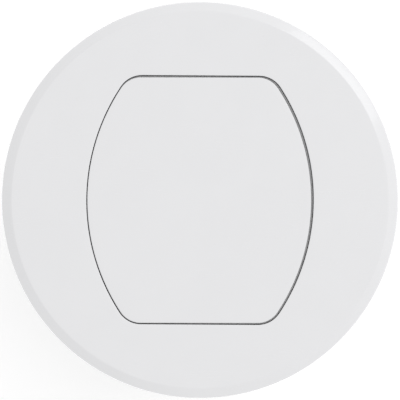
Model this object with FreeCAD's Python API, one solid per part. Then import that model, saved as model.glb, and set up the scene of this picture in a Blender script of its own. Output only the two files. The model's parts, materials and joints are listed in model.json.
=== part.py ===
"""Round pop-up power unit for a desk or worktop, modelled closed.

Millimetres, +Z up. The origin is the centre of the worktop hole, level with the worktop's top face.
The sockets face -Y and the USB ports face +Y. The tower rises out of the flange along +Z.
"""
import FreeCAD, Part
import math
import os

V = FreeCAD.Vector

# ---- flange, trim and lid -------------------------------------------------
opening_half_x = 38.2          # barrel-shaped opening: bulging sides left and right
opening_half_y = 41.85         # straight edges front and back
opening_side_radius = 69.2
opening_corner_radius = 8.6
flange_overhang = 16.57        # how far the trim reaches past the worktop hole's sleeve
flange_thickness = 3.5
trim_thickness = 1.5
trim_skirt_wall = 2.1
trim_floor_gap = 0.2           # the skirt ends this far above the worktop
bevel_width = 3.3
bevel_drop = 1.9
rim_round = 1.0
snap_depth = 0.4
snap_start = 0.2               # the snap bead's heights above the skirt's foot
snap_full = 0.6
snap_end = 0.9
rebate_gap = 0.2               # housing's rebate, deeper than the bead
inner_bevel_drop = 1.5         # inside of the trim's bevel
inner_bevel_step = 0.4
lid_gap = 0.58                 # all round, between lid and trim
lid_play_x = -0.25             # how the lid sits within its gap
lid_play_y = -0.07
lid_turn = 0.23                # degrees
lid_cover_thickness = 1.5
lid_edge_round = 0.3
carrier_thickness = 5.1
carrier_step = 0.3             # carrier smaller than its cover, all round
seal_height = 2.0
seal_depth = 1.6
seal_gap = 0.2                 # seal to the edge of the opening, all round
lid_post_x = 16.0              # posts that hold the cover in its carrier
lid_post_y = 20.0
lid_post_radius = 1.5
lid_post_length = 3.0
lid_screw_length = 9.0
pocket_margin = 0.1            # pocket in the housing, wider than the trim's opening
fit_gap = 0.1                  # between pieces that fit closely and don't move

# ---- tower ----------------------------------------------------------------
tower_inset = 4.0              # tower outline inside the opening, all round
tower_wall = 2.2
bore_gap = 0.5                 # tower to housing bore
lift_travel = 82.0
press_travel = 2.0             # pushed down past rest to release the latch
pocket_clearance = 1.0
web_thickness = 5.4
wiper_height = 2.4
wiper_depth = 1.8
wiper_gap = 0.2
bumper_height = 4.0
stop_gap = 0.2
ear_height = 17.8
base_thickness = 6.0
spring_length = 28.0           # lift springs, tower down
lid_plug_depth = 2.2
base_plug_depth = 4.4
plug_wall = 2.0
lid_boss_depth = 7.4           # carrier's screw bosses, below its underside
lug_thickness = 3.0
post_height = 14.0
rib_half_width = 1.0
ear_web_x = 30.0               # webs that carry the guide ears start here
base_counterbore = 2.2
base_screw_length = 13.0

# ---- housing --------------------------------------------------------------
corner_clearance = 3.4         # tower's corners to the tube's inside
tube_wall = 2.2
thread_height = 1.0
neck_step = 0.3                # plain neck proud of the thread's crest
neck_length = 8.0
thread_pitch = 4.0
thread_length = 58.0
thread_crest = 1.0
thread_base = 2.2
thread_sink = 0.4              # ridges reach this far into their wall
gasket_offset = 3.7            # from the neck to the flange gasket
gasket_width = 6.0
gasket_thickness = 1.2
gasket_groove = 0.35           # depth and half width of its two grooves
cap_thickness = 4.0
cap_rim_height = 4.0
cap_edge_round = 1.4
cap_rim_wall = 2.0
cap_rim_gap = 0.2
cap_boss_gap = 0.4
boss_height = 16.0             # screw bosses inside the housing's foot
boss_hole_depth = 12.0
boss_sink = 0.5                # bosses reach this far into the wall
counterbore = 2.0
cap_screw_length = 11.0
vent_count = 5
vent_pitch = 5.0
vent_half_width = 1.0
vent_start_y = -37.0
vent_end_y = -29.0
grommet_neck = 5.3             # neck of the grommet, beyond the cord
grommet_bore = 2.3
grommet_lip = 1.4
grommet_lip_height = 1.6

# ---- worktop clamp --------------------------------------------------------
worktop_thickness = 38.0
washer_thickness = 2.0
washer_gap = 0.5
washer_width = 9.5
ring_height = 12.0
ring_wall = 8.5
ring_clearance = 0.35
ring_thread_crest = 0.9
ring_thread_base = 1.9
ring_lobes = 12
lobe_cut_radius = 6.0
lobe_cut_depth = 2.2

# ---- rods, springs, damper, latch ----------------------------------------
rod_radius = 2.0
rod_seat = 5.0
cap_rod_seat = 3.0
bush_gap = 0.05
bush_wall = 1.6
ear_wall = 1.9
lift_wire = 1.0
lift_spring_radius = 4.2       # to the wire's centre
lift_coils = 20
spigot_height = 4.0
gear_module = 0.8
gear_teeth = 10
gear_width = 4.6
gear_backlash = 0.3
rack_bar = 2.5
rack_wall_gap = 0.9
rack_pad_half = 2.5            # half width of the pad behind the rack
pad_sink = 0.3
rack_hole_wall = 0.4           # housing left behind the rack's screws
screw_end_gap = 0.2
rack_screw_rise = 6.0
rack_overrun = 8.0             # rack beyond the pinion, tower up
rack_end = 4.0                 # rack screws to the rack's end, and to its nearest tooth
rack_tooth_height = 1.75       # in modules
pressure_angle = 20.0
spring_notch = 9.0             # half widths of the notches in the cap's rim
rack_notch = 5.0
spigot_gap = 0.4
damper_drop = 7.0              # damper's axis below the tower base
damper_radius = 7.0
damper_thickness = 6.0
damper_tab = 2.5
damper_shaft_radius = 1.2
damper_screw_spread = 5.0
latch_wire_radius = 0.8
cam_width = 16.0
cam_height = 18.0
cam_thickness = 4.0
cam_groove = 1.8
cam_y = -20.0                  # cam's face, towards the wire
cam_notch_drop = 11.5          # notch below the tower base
cam_foot_depth = 9.0
cam_foot_height = 3.0
cam_screw_back = 6.6           # its screws behind its face
track_mouth = 2.2              # half widths of the track, from its mouth up
track_half = 6.0
track_crown = 3.0
track_shoulder = 3.0           # heights above the notch
track_top = 5.5
heart_half = 3.0
heart_shoulder = 1.2
heart_point = 2.6              # heart's point below the notch
notch_half_width = 1.6
notch_depth = 2.2
wire_rest_gap = 0.06
wire_stand_off = 3.0           # wire in front of the cam's face
block_offset = 1.0
latch_screw_spread = 6.5
block_height = 6.0
block_half_x = 9.0
block_half_y = 3.5
cord_radius = 3.7
cord_y = 10.0
gland_wall = 3.3
gland_flat = 2.5               # its hexagons, beyond its thread
nut_flat = 2.0
locknut_height = 3.2
nut_height = 6.0
nut_gap = 0.2                  # nut below the gland's collar
gland_collar = 3.0

# ---- fasteners ------------------------------------------------------------
screw_radius = 1.5
screw_head_radius = 2.8
screw_head_height = 1.8
screw_clear = 0.2
head_clear = 0.3
boss_radius = 3.3
shell_boss_x = 21.5
shell_boss_margin = 11.85      # shell bosses behind the tower's flat faces
small_screw = 1.0
small_head = 2.0
small_head_height = 1.2

# ---- sockets and USB ------------------------------------------------------
face_width = 33.3
face_height = 66.8
face_margin = 4.3              # below the lid carrier
face_recess = 0.4               # behind the tower's flat, so that it passes the wiper
face_thickness = 5.0
face_rim = 1.8
face_gap = 0.15
body_width = 33.0
body_height = 62.0
body_depth = 14.85
socket_offset = 21.0
blade_spread = 6.35
blade_lift = 4.0
blade_slot = 1.9
line_slot_height = 7.0
neutral_slot_height = 8.6
earth_drop = 7.9
earth_hole = 2.6
shutter_travel = 3.0
shutter_width = 22.0
shutter_height = 10.4
shutter_thickness = 2.0
shutter_gap = 0.2
contact_sheet = 0.6
contact_length = 11.2
bus_width = 5.5
terminal_depth = 2.4
rear_cover_depth = 5.3
button_width = 8.4
button_height = 5.6
button_x = 5.6
button_proud = 0.25
button_flange = 0.8
button_gap = 0.2
button_pocket = 5.6
fine_wire = 0.3
fine_sides = 8                 # the finest springs are of wire with this many flat sides
lens_radius = 1.3
lens_proud = 0.2
lens_rise = 6.5                # above the buttons
board_thickness = 1.6
board_width = 30.0
board_height = 56.0
post_spread_x = 11.0           # posts between the board and the sockets' rear cover
post_spread_z = 24.0
usb_board_width = 26.0
usb_board_height = 36.0
usb_face_height = 40.0
usb_port_depth = 14.0
usb_a_width = 13.2
usb_a_height = 5.8
usb_c_width = 9.2
usb_c_height = 3.5
usb_sheet = 0.4
usb_spacing = 12.0
usb_case_depth = 24.0
usb_case_wall = 1.5

# ---- worked out -----------------------------------------------------------
top_z = flange_thickness + trim_thickness
cover_z = top_z - lid_cover_thickness
carrier_z = cover_z - carrier_thickness
pocket_z = carrier_z - press_travel - pocket_clearance
web_z = pocket_z - web_thickness
bumper_z = web_z - bumper_height
ear_top = bumper_z - stop_gap - lift_travel
base_z = ear_top - ear_height
shell_z = base_z + base_thickness
housing_z = base_z - spring_length
cap_z = housing_z - cap_thickness
tower_half_x = opening_half_x - tower_inset
tower_half_y = opening_half_y - tower_inset
front = -tower_half_y
back = tower_half_y
device_z = carrier_z - face_margin - face_height / 2
usb_z = carrier_z - face_margin - usb_face_height / 2
shell_boss_y = tower_half_y - shell_boss_margin
thread_start = -neck_length - thread_length + thread_base


def corner_centre(inset):
    """Centre of the barrel outline's corner arc in the +X +Y quarter, and its radius."""
    r = max(opening_corner_radius - inset, 0.4)
    y = opening_half_y - inset - r
    side = opening_side_radius - inset - r
    return opening_half_x - opening_side_radius + math.sqrt(side ** 2 - y ** 2), y, r


corner_x, corner_y, corner_r = corner_centre(tower_inset)
tube_inner = math.hypot(corner_x, corner_y) + corner_r + corner_clearance
thread_root = tube_inner + tube_wall
thread_crest_radius = thread_root + thread_height
neck_radius = thread_crest_radius + neck_step
flange_radius = neck_radius + flange_overhang
rod_x = (tower_half_x + tube_inner) / 2
boss_ring = tube_inner - boss_radius + 0.4
gear_radius = gear_module * gear_teeth / 2
rack_back = tube_inner - rack_wall_gap
rack_root = rack_back - rack_bar
rack_line = rack_root - gear_module
damper_y = rack_line - gear_radius
damper_z = base_z - damper_drop
damper_x = gear_width / 2 + 0.7
damper_back = damper_x + damper_thickness


# ---- shape helpers --------------------------------------------------------
def box(x0, x1, y0, y1, z0, z1):
    return Part.makeBox(x1 - x0, y1 - y0, z1 - z0, V(x0, y0, z0))


def plate(cx, width, y0, y1, cz, height):
    """A box centred on cx and cz, from y0 to y1."""
    return box(cx - width / 2, cx + width / 2, y0, y1, cz - height / 2, cz + height / 2)


def rod(radius, start, end):
    start, end = V(*start), V(*end)
    return Part.makeCylinder(radius, (end - start).Length, start, end - start)


def tube(outer, inner, z0, z1, x=0.0, y=0.0):
    return rod(outer, (x, y, z0), (x, y, z1)).cut(rod(inner, (x, y, z0), (x, y, z1)))


def turned(points):
    """A solid of revolution about Z from (radius, z) points."""
    wire = Part.makePolygon([V(r, 0, z) for r, z in points + points[:1]])
    return Part.Face(wire).revolve(V(0, 0, 0), V(0, 0, 1), 360)


def polygon_prism(points, direction):
    return Part.Face(Part.makePolygon(points + points[:1])).extrude(direction)


def arc(a, b, c):
    return Part.Arc(V(*a), V(*b), V(*c)).toShape()


def barrel(inset, z0, z1):
    """The opening's outline moved inwards by inset, as a prism from z0 to z1."""
    cx, cy, r = corner_centre(inset)
    half_x = opening_half_x - inset
    half_y = opening_half_y - inset
    side_x = opening_half_x - opening_side_radius
    side_r = opening_side_radius - inset
    turn = math.atan2(cy, cx - side_x)
    touch = (side_x + side_r * math.cos(turn), side_r * math.sin(turn))
    middle = (math.pi / 2 + turn) / 2
    corner = (cx + r * math.cos(middle), cy + r * math.sin(middle))
    edges = []
    for s in (1, -1):
        edges += [
            Part.LineSegment(V(s * cx, s * half_y, z0), V(-s * cx, s * half_y, z0)).toShape(),
            arc((-s * cx, s * half_y, z0), (-s * corner[0], s * corner[1], z0),
                (-s * touch[0], s * touch[1], z0)),
            arc((-s * touch[0], s * touch[1], z0), (-s * half_x, 0, z0),
                (-s * touch[0], -s * touch[1], z0)),
            arc((-s * touch[0], -s * touch[1], z0), (-s * corner[0], -s * corner[1], z0),
                (-s * cx, -s * half_y, z0)),
        ]
    wire = Part.Wire(Part.__sortEdges__(edges))
    return Part.Face(wire).extrude(V(0, 0, z1 - z0))


def barrel_ring(outer_inset, inner_inset, z0, z1):
    return barrel(outer_inset, z0, z1).cut(barrel(inner_inset, z0, z1))


def joined(first, *others):
    return first.fuse(list(others)).removeSplitter()


def flat_sided(centre, normal, radius, sides):
    """A regular polygon across normal, with a corner straight out along +X."""
    out = V(1, 0, 0)
    over = normal.cross(out)
    points = []
    for n in range(sides):
        angle = 2 * math.pi * n / sides
        points.append(centre + out * (radius * math.cos(angle)) + over * (radius * math.sin(angle)))
    return Part.makePolygon(points + points[:1])


def coil(radius, wire, length, turns, sides=0):
    """A compression spring along +Z from the origin, of round wire or of wire with flat sides."""
    pitch = (length - wire) / turns
    path = Part.makeHelix(pitch, length - wire, radius)
    centre = V(radius, 0, 0)
    along_wire = V(0, 1, pitch / (2 * math.pi * radius)).normalize()
    section = Part.makeCircle(wire / 2, centre, along_wire)
    if sides:
        section = flat_sided(centre, along_wire, wire / 2, sides)
    spring = Part.Wire(path).makePipeShell([Part.Wire([section])], True, True)
    spring.translate(V(0, 0, wire / 2))
    return spring


def along(shape, start, direction):
    """Turns a shape made along +Z so that it runs from start along direction."""
    placed = shape.copy()
    turn = FreeCAD.Rotation(V(0, 0, 1), V(*direction))
    placed.Placement = FreeCAD.Placement(V(*start), turn).multiply(placed.Placement)
    return placed


def screw(head_at, direction, length, radius=screw_radius, head=screw_head_radius,
          height=screw_head_height):
    """A pan-head screw with a cross recess; its shank runs along direction from the head's seat."""
    shank = rod(radius, (0, 0, 0), (0, 0, length))
    cap = rod(head, (0, 0, -height), (0, 0, 0))
    cap = cap.makeFillet(height * 0.45, [cap.Edges[2]])
    arm, half = head * 1.2, head * 0.14
    cross = box(-arm / 2, arm / 2, -half, half, -height, -height / 2)
    cross = cross.fuse(box(-half, half, -arm / 2, arm / 2, -height, -height / 2))
    return along(shank.fuse(cap).cut(cross).removeSplitter(), head_at, direction)


def thread_ridge(root, tip, root_width, tip_width, start_z, turns):
    """A helical ridge from radius root to tip, sunk into its wall; its middle starts at start_z."""
    outward = 1 if tip > root else -1
    base = root - outward * thread_sink
    slope = (root_width - tip_width) / 2 / abs(tip - root)
    half = root_width / 2 + slope * thread_sink
    points = [V(base, 0, start_z - half), V(tip, 0, start_z - tip_width / 2),
              V(tip, 0, start_z + tip_width / 2), V(base, 0, start_z + half)]
    path = Part.makeHelix(thread_pitch, turns * thread_pitch, base)
    path.translate(V(0, 0, start_z))
    return Part.Wire(path).makePipeShell([Part.makePolygon(points + points[:1])], True, True)


def four_corners(x, y):
    return [(sx * x, sy * y) for sx in (1, -1) for sy in (1, -1)]


cap_screw_points = four_corners(boss_ring * math.sqrt(0.5), boss_ring * math.sqrt(0.5))
shell_points = four_corners(shell_boss_x, shell_boss_y)


# ---- fixed pieces ---------------------------------------------------------
def make_trim_ring():
    outer = flange_radius
    inner = outer - trim_skirt_wall
    shoulder = outer - bevel_width
    seat = top_z - trim_thickness
    profile = [
        (0, top_z), (shoulder, top_z), (outer, top_z - bevel_drop), (outer, trim_floor_gap),
        (inner, trim_floor_gap), (inner - snap_depth, trim_floor_gap + snap_start),
        (inner - snap_depth, trim_floor_gap + snap_full), (inner, trim_floor_gap + snap_end),
        (inner, seat - inner_bevel_drop), (shoulder - inner_bevel_step, seat), (0, seat),
    ]
    ring = turned(profile)
    rim = [e for e in ring.Edges if e.isClosed() and abs(e.BoundBox.ZMax - top_z + bevel_drop) < 1e-4
           and e.BoundBox.ZLength < 1e-4 and abs(e.BoundBox.XMax - outer) < 1e-4]
    ring = ring.makeFillet(rim_round, rim)
    ring = ring.cut(barrel(0, 0, top_z + 1))
    mouth = [e for e in ring.Edges if e.BoundBox.ZMin > top_z - 1e-4
             and e.BoundBox.XMax < opening_half_x + 1 and e.BoundBox.YMax < opening_half_y + 1]
    return ring.makeFillet(lid_edge_round, mouth)


def make_housing():
    outer = flange_radius - trim_skirt_wall - fit_gap
    rebate = snap_depth + rebate_gap
    rebate_top = trim_floor_gap + snap_end
    bevel_start = flange_radius - bevel_width - inner_bevel_step - fit_gap
    body = turned([
        (0, flange_thickness), (bevel_start, flange_thickness),
        (outer, flange_thickness - inner_bevel_drop - fit_gap), (outer, rebate_top + fit_gap),
        (outer - rebate, rebate_top - fit_gap), (outer - rebate, 0), (neck_radius, 0),
        (neck_radius, -neck_length), (thread_root, -neck_length), (thread_root, housing_z),
        (0, housing_z),
    ])
    body = body.cut(rod(tube_inner, (0, 0, housing_z), (0, 0, web_z)))
    body = body.cut(barrel(-pocket_margin, pocket_z, top_z))
    body = body.cut(barrel(tower_inset - bore_gap, web_z, top_z))
    wiper_top = web_z + (pocket_z - web_z + wiper_height) / 2
    body = body.cut(barrel(tower_inset - wiper_depth, wiper_top - wiper_height, wiper_top))
    for s in (1, -1):
        body = body.cut(rod(rod_radius, (s * rod_x, 0, web_z), (s * rod_x, 0, web_z + rod_seat)))
    groove = neck_radius + gasket_offset
    body = body.cut(tube(groove + gasket_width, groove, 0, gasket_thickness))
    inside = rod(tube_inner + boss_sink, (0, 0, housing_z), (0, 0, housing_z + boss_height))
    for x, y in cap_screw_points:
        boss = rod(boss_radius, (x, y, housing_z), (x, y, housing_z + boss_height)).common(inside)
        body = body.fuse(boss)
        body = body.cut(rod(screw_radius, (x, y, housing_z), (x, y, housing_z + boss_hole_depth)))
    pad = box(-rack_pad_half, rack_pad_half, rack_back, tube_inner + pad_sink, housing_z, web_z)
    body = body.fuse(pad)
    for z in rack_screw_heights():
        body = body.cut(rod(small_screw, (0, rack_back - 1, z), (0, thread_root - rack_hole_wall, z)))
    turns = math.floor((thread_length - 2 * thread_base) / thread_pitch)
    return body.fuse(thread_ridge(thread_root, thread_crest_radius, thread_base, thread_crest,
                                  thread_start, turns))


def make_wiper_seal():
    top = web_z + (pocket_z - web_z + wiper_height) / 2
    return barrel_ring(tower_inset - wiper_depth, tower_inset - wiper_gap, top - wiper_height, top)


def make_flange_gasket():
    inner = neck_radius + gasket_offset
    ring = tube(inner + gasket_width, inner, 0, gasket_thickness)
    for share in (0.3, 0.7):
        middle = inner + gasket_width * share
        ring = ring.cut(tube(middle + gasket_groove, middle - gasket_groove, 0, gasket_groove))
    return ring


def make_guide_rods():
    return Part.makeCompound([
        rod(rod_radius, (s * rod_x, 0, housing_z - cap_rod_seat), (s * rod_x, 0, web_z + rod_seat))
        for s in (1, -1)
    ])


def make_stop_bumpers():
    rings = []
    for s in (1, -1):
        ring = tube(ear_radius(), rod_radius + 0.2, bumper_z, web_z, s * rod_x)
        rings.append(ring)
    return Part.makeCompound(rings)


def ear_radius():
    return rod_radius + bush_gap + bush_wall + ear_wall


def make_lift_spring(side):
    spring = coil(lift_spring_radius, lift_wire, spring_length, lift_coils)
    spring.translate(V(side * rod_x, 0, housing_z))
    return spring


def rack_screw_heights():
    low = housing_z + rack_screw_rise
    high = damper_z + lift_travel + gear_radius + rack_overrun
    return low, high


def make_damper_rack():
    low, high = rack_screw_heights()
    pitch = math.pi * gear_module
    bar = box(-gear_width / 2, gear_width / 2, rack_root, rack_back, housing_z, high + rack_end)
    reach = gear_module * rack_tooth_height
    half_root = pitch / 4 - gear_backlash / 4 + gear_module * math.tan(math.radians(pressure_angle))
    half_tip = half_root - reach * math.tan(math.radians(pressure_angle))
    first = math.ceil((low + rack_end - damper_z) / pitch)
    last = math.floor((high - rack_end - damper_z) / pitch)
    points = [V(-gear_width / 2, rack_back - rack_bar / 2, damper_z + first * pitch - pitch)]
    for n in range(first, last + 1):
        z = damper_z + n * pitch
        points += [V(-gear_width / 2, rack_root, z - half_root),
                   V(-gear_width / 2, rack_root - reach, z - half_tip),
                   V(-gear_width / 2, rack_root - reach, z + half_tip),
                   V(-gear_width / 2, rack_root, z + half_root)]
    points.append(V(-gear_width / 2, rack_back - rack_bar / 2, damper_z + last * pitch + pitch))
    teeth = polygon_prism(points, V(gear_width, 0, 0))
    bar = joined(bar, teeth)
    for z in (low, high):
        bar = bar.cut(rod(small_screw + fit_gap, (0, rack_root - 4, z), (0, rack_back, z)))
    return bar


def make_rack_screws():
    length = thread_root - rack_hole_wall - screw_end_gap - rack_root
    return Part.makeCompound([
        screw((0, rack_root, z), (0, 1, 0), length, small_screw, small_head, small_head_height)
        for z in rack_screw_heights()
    ])


def vent_slot(x):
    half = vent_half_width
    return joined(box(x - half, x + half, vent_start_y, vent_end_y, cap_z, housing_z),
                  rod(half, (x, vent_start_y, cap_z), (x, vent_start_y, housing_z)),
                  rod(half, (x, vent_end_y, cap_z), (x, vent_end_y, housing_z)))


def make_bottom_cap():
    disc = rod(thread_root, (0, 0, cap_z), (0, 0, housing_z))
    low = [e for e in disc.Edges if e.isClosed() and abs(e.BoundBox.ZMax - cap_z) < 1e-4]
    disc = disc.makeFillet(cap_edge_round, low)
    outside = tube_inner - cap_rim_gap
    rim = tube(outside, outside - cap_rim_wall, housing_z, housing_z + cap_rim_height)
    rim = rim.cut(box(-tube_inner, tube_inner, -spring_notch, spring_notch, housing_z, 0))
    rim = rim.cut(box(-rack_notch, rack_notch, 0, tube_inner, housing_z, 0))
    for x, y in cap_screw_points:
        rim = rim.cut(rod(boss_radius + cap_boss_gap, (x, y, housing_z), (x, y, 0)))
    disc = disc.fuse(rim)
    for s in (1, -1):
        x = s * rod_x
        disc = disc.fuse(rod(lift_spring_radius - lift_wire / 2 - spigot_gap, (x, 0, housing_z),
                             (x, 0, housing_z + spigot_height)))
        disc = disc.cut(rod(rod_radius, (x, 0, housing_z - cap_rod_seat),
                            (x, 0, housing_z + spigot_height)))
    for x, y in cap_screw_points:
        disc = disc.cut(rod(screw_radius + screw_clear, (x, y, cap_z), (x, y, housing_z)))
        disc = disc.cut(rod(screw_head_radius + head_clear, (x, y, cap_z), (x, y, cap_z + counterbore)))
    disc = disc.cut(rod(grommet_seat(), (0, cord_y, cap_z), (0, cord_y, housing_z)))
    for n in range(vent_count):
        disc = disc.cut(vent_slot((n - (vent_count - 1) / 2) * vent_pitch))
    for x in latch_screw_x():
        disc = disc.cut(rod(small_screw + fit_gap, (x, block_y(), cap_z), (x, block_y(), housing_z)))
    return disc


def grommet_seat():
    return cord_radius + grommet_neck


def make_cord_grommet():
    outer = grommet_seat()
    hole = cord_radius + grommet_bore
    wide = outer + grommet_lip
    low = tube(wide, hole, cap_z - grommet_lip_height, cap_z, 0, cord_y)
    high = tube(wide, hole, housing_z, housing_z + grommet_lip_height, 0, cord_y)
    neck = tube(outer - fit_gap, hole, cap_z, housing_z, 0, cord_y)
    return joined(low, neck, high)


def make_cap_screws():
    return Part.makeCompound([
        screw((x, y, cap_z + counterbore), (0, 0, 1), cap_screw_length) for x, y in cap_screw_points
    ])


# ---- push latch -----------------------------------------------------------
def notch_z():
    return base_z - cam_notch_drop


def wire_y():
    return cam_y - wire_stand_off


def block_y():
    return wire_y() - block_offset


def cam_screw_y():
    return cam_y + cam_screw_back


def latch_screw_x():
    return -latch_screw_spread, latch_screw_spread


def tip_z():
    """Height of the wire's tip, resting in the notch of the heart-shaped island."""
    half_angle = math.atan2(notch_half_width, notch_depth)
    return notch_z() + latch_wire_radius / math.sin(half_angle) + wire_rest_gap


def make_heart_cam():
    top, low, n = base_z, base_z - cam_height, notch_z()
    face = cam_y
    block = box(-cam_width / 2, cam_width / 2, face, face + cam_thickness, low, top)
    block = block.fuse(box(-cam_width / 2, cam_width / 2, face, face + cam_foot_depth,
                           top - cam_foot_height, top))
    right = [(track_crown, n + track_top), (track_half, n + track_shoulder), (track_half, low + 5),
             (track_mouth, low)]
    track = [(-x, z) for x, z in reversed(right)] + right
    lobe = [(heart_half, n + heart_shoulder), (notch_half_width, n + notch_depth)]
    heart = [(0, n - heart_point)] + lobe + [(0, n)] + [(-x, z) for x, z in reversed(lobe)]
    groove = polygon_prism([V(x, face, z) for x, z in track], V(0, cam_groove, 0))
    island = polygon_prism([V(x, face, z) for x, z in heart], V(0, cam_groove, 0))
    block = block.cut(groove.cut(island))
    for x in latch_screw_x():
        block = block.cut(rod(small_screw + fit_gap, (x, cam_screw_y(), top - cam_foot_height),
                              (x, cam_screw_y(), top)))
    return block


def make_cam_screws():
    return Part.makeCompound([
        screw((x, cam_screw_y(), base_z - cam_foot_height), (0, 0, 1), 7.0, small_screw,
              small_head, small_head_height)
        for x in latch_screw_x()
    ])


def make_latch_wire():
    y, z, bend = wire_y(), tip_z(), 2.0
    end = cam_y + cam_groove - 0.4
    path = Part.Wire([
        Part.LineSegment(V(0, y, housing_z + 1), V(0, y, z - bend)).toShape(),
        arc((0, y, z - bend), (0, y + bend - bend * math.sqrt(0.5), z - bend + bend * math.sqrt(0.5)),
            (0, y + bend, z)),
        Part.LineSegment(V(0, y + bend, z), V(0, end, z)).toShape(),
    ])
    section = Part.Wire([Part.makeCircle(latch_wire_radius, V(0, y, housing_z + 1), V(0, 0, 1))])
    return path.makePipeShell([section], True, True)


def make_latch_block():
    y = block_y()
    block = box(-block_half_x, block_half_x, y - block_half_y, y + block_half_y, housing_z,
                housing_z + block_height)
    block = block.makeFillet(1.0, [e for e in block.Edges if e.BoundBox.ZLength > block_height - 0.1])
    block = block.cut(rod(latch_wire_radius, (0, wire_y(), housing_z + 1),
                          (0, wire_y(), housing_z + block_height)))
    for x in latch_screw_x():
        block = block.cut(rod(small_screw, (x, y, housing_z), (x, y, housing_z + block_height - 1)))
    return block


def make_latch_screws():
    return Part.makeCompound([
        screw((x, block_y(), cap_z), (0, 0, 1), 8.0, small_screw, small_head, small_head_height)
        for x in latch_screw_x()
    ])


# ---- lid ------------------------------------------------------------------
def settled(shape):
    """Turns and shifts a lid piece to where it sits in its gap."""
    moved = shape.copy()
    moved.rotate(V(0, 0, 0), V(0, 0, 1), lid_turn)
    moved.translate(V(lid_play_x, lid_play_y, 0))
    return moved


def lid_post_points():
    return four_corners(lid_post_x, lid_post_y)


def make_lid_cover():
    cover = barrel(lid_gap, cover_z, top_z)
    edge = [e for e in cover.Edges if e.BoundBox.ZMin > top_z - 1e-4]
    cover = cover.makeFillet(lid_edge_round, edge)
    for x, y in lid_post_points():
        cover = cover.fuse(rod(lid_post_radius, (x, y, cover_z - lid_post_length), (x, y, cover_z)))
    return settled(cover)


def seal_land(z0, z1):
    """What the seal closes round: the carrier's outline inside the seal."""
    return settled(barrel(lid_gap + carrier_step + seal_depth, z0, z1))


def make_lid_carrier():
    body = settled(barrel(lid_gap + carrier_step, carrier_z, cover_z))
    seal_z = cover_z - seal_height
    body = body.cut(barrel(-seal_depth, seal_z, cover_z).cut(seal_land(seal_z, cover_z)))
    for x, y in lid_post_points():
        hole = rod(lid_post_radius + fit_gap, (x, y, cover_z - lid_post_length - fit_gap),
                   (x, y, cover_z))
        body = body.cut(settled(hole))
    plug_inset = tower_inset + tower_wall + fit_gap
    body = body.fuse(barrel_ring(plug_inset, plug_inset + plug_wall, carrier_z - lid_plug_depth,
                                 carrier_z))
    for x, y in shell_points:
        body = body.fuse(rod(boss_radius, (x, y, carrier_z - lid_boss_depth), (x, y, carrier_z)))
        body = body.cut(rod(screw_radius, (x, y, carrier_z - lid_boss_depth), (x, y, carrier_z + 1)))
    return body


def make_lid_seal():
    """A ring clamped under the cover; it takes up the lid's play in the opening."""
    seal_z = cover_z - seal_height
    return barrel(seal_gap, seal_z, cover_z).cut(seal_land(seal_z, cover_z))


def make_lid_screws():
    return Part.makeCompound([
        screw((x, y, carrier_z - lid_boss_depth - lug_thickness), (0, 0, 1),
              lid_screw_length)
        for x, y in shell_points
    ])


# ---- tower ----------------------------------------------------------------
def shell_half(side):
    """Front (-1) or back (1) half of the tower's casing, with its screw lugs."""
    wall = barrel_ring(tower_inset, tower_inset + tower_wall, shell_z, carrier_z)
    wide = tower_half_x + 5
    keep = box(-wide, wide, min(0, side * 60), max(0, side * 60), shell_z - 1, carrier_z + 1)
    half = wall.common(keep)
    inside = barrel(tower_inset + tower_wall / 2, shell_z, carrier_z).common(keep)
    for x, y in shell_points:
        if y * side < 0:
            continue
        outward = 8 if x > 0 else -8
        lug_top = carrier_z - lid_boss_depth
        lug = rod(boss_radius, (x, y, lug_top - lug_thickness), (x, y, lug_top))
        arm = box(min(x, x + outward), max(x, x + outward), y - boss_radius, y + boss_radius,
                  lug_top - lug_thickness, lug_top)
        post = rod(boss_radius, (x, y, shell_z), (x, y, shell_z + post_height))
        rib = box(min(x, x + outward), max(x, x + outward), y - rib_half_width, y + rib_half_width,
                  shell_z, shell_z + post_height)
        half = half.fuse([lug.fuse(arm).common(inside), post.fuse(rib).common(inside)])
        half = half.cut(rod(screw_radius + screw_clear, (x, y, lug_top - lug_thickness), (x, y, lug_top)))
        half = half.cut(rod(screw_radius, (x, y, shell_z), (x, y, shell_z + post_height - 2)))
    return half


def make_tower_front_shell():
    window = plate(0, face_width + 2 * face_gap, front - 1, front + tower_wall + 1, device_z,
                   face_height + 2 * face_gap)
    return shell_half(-1).cut(window)


def make_tower_back_shell():
    window = plate(0, face_width + 2 * face_gap, back - tower_wall - 1, back + 1, usb_z,
                   usb_face_height + 2 * face_gap)
    return shell_half(1).cut(window)


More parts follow.
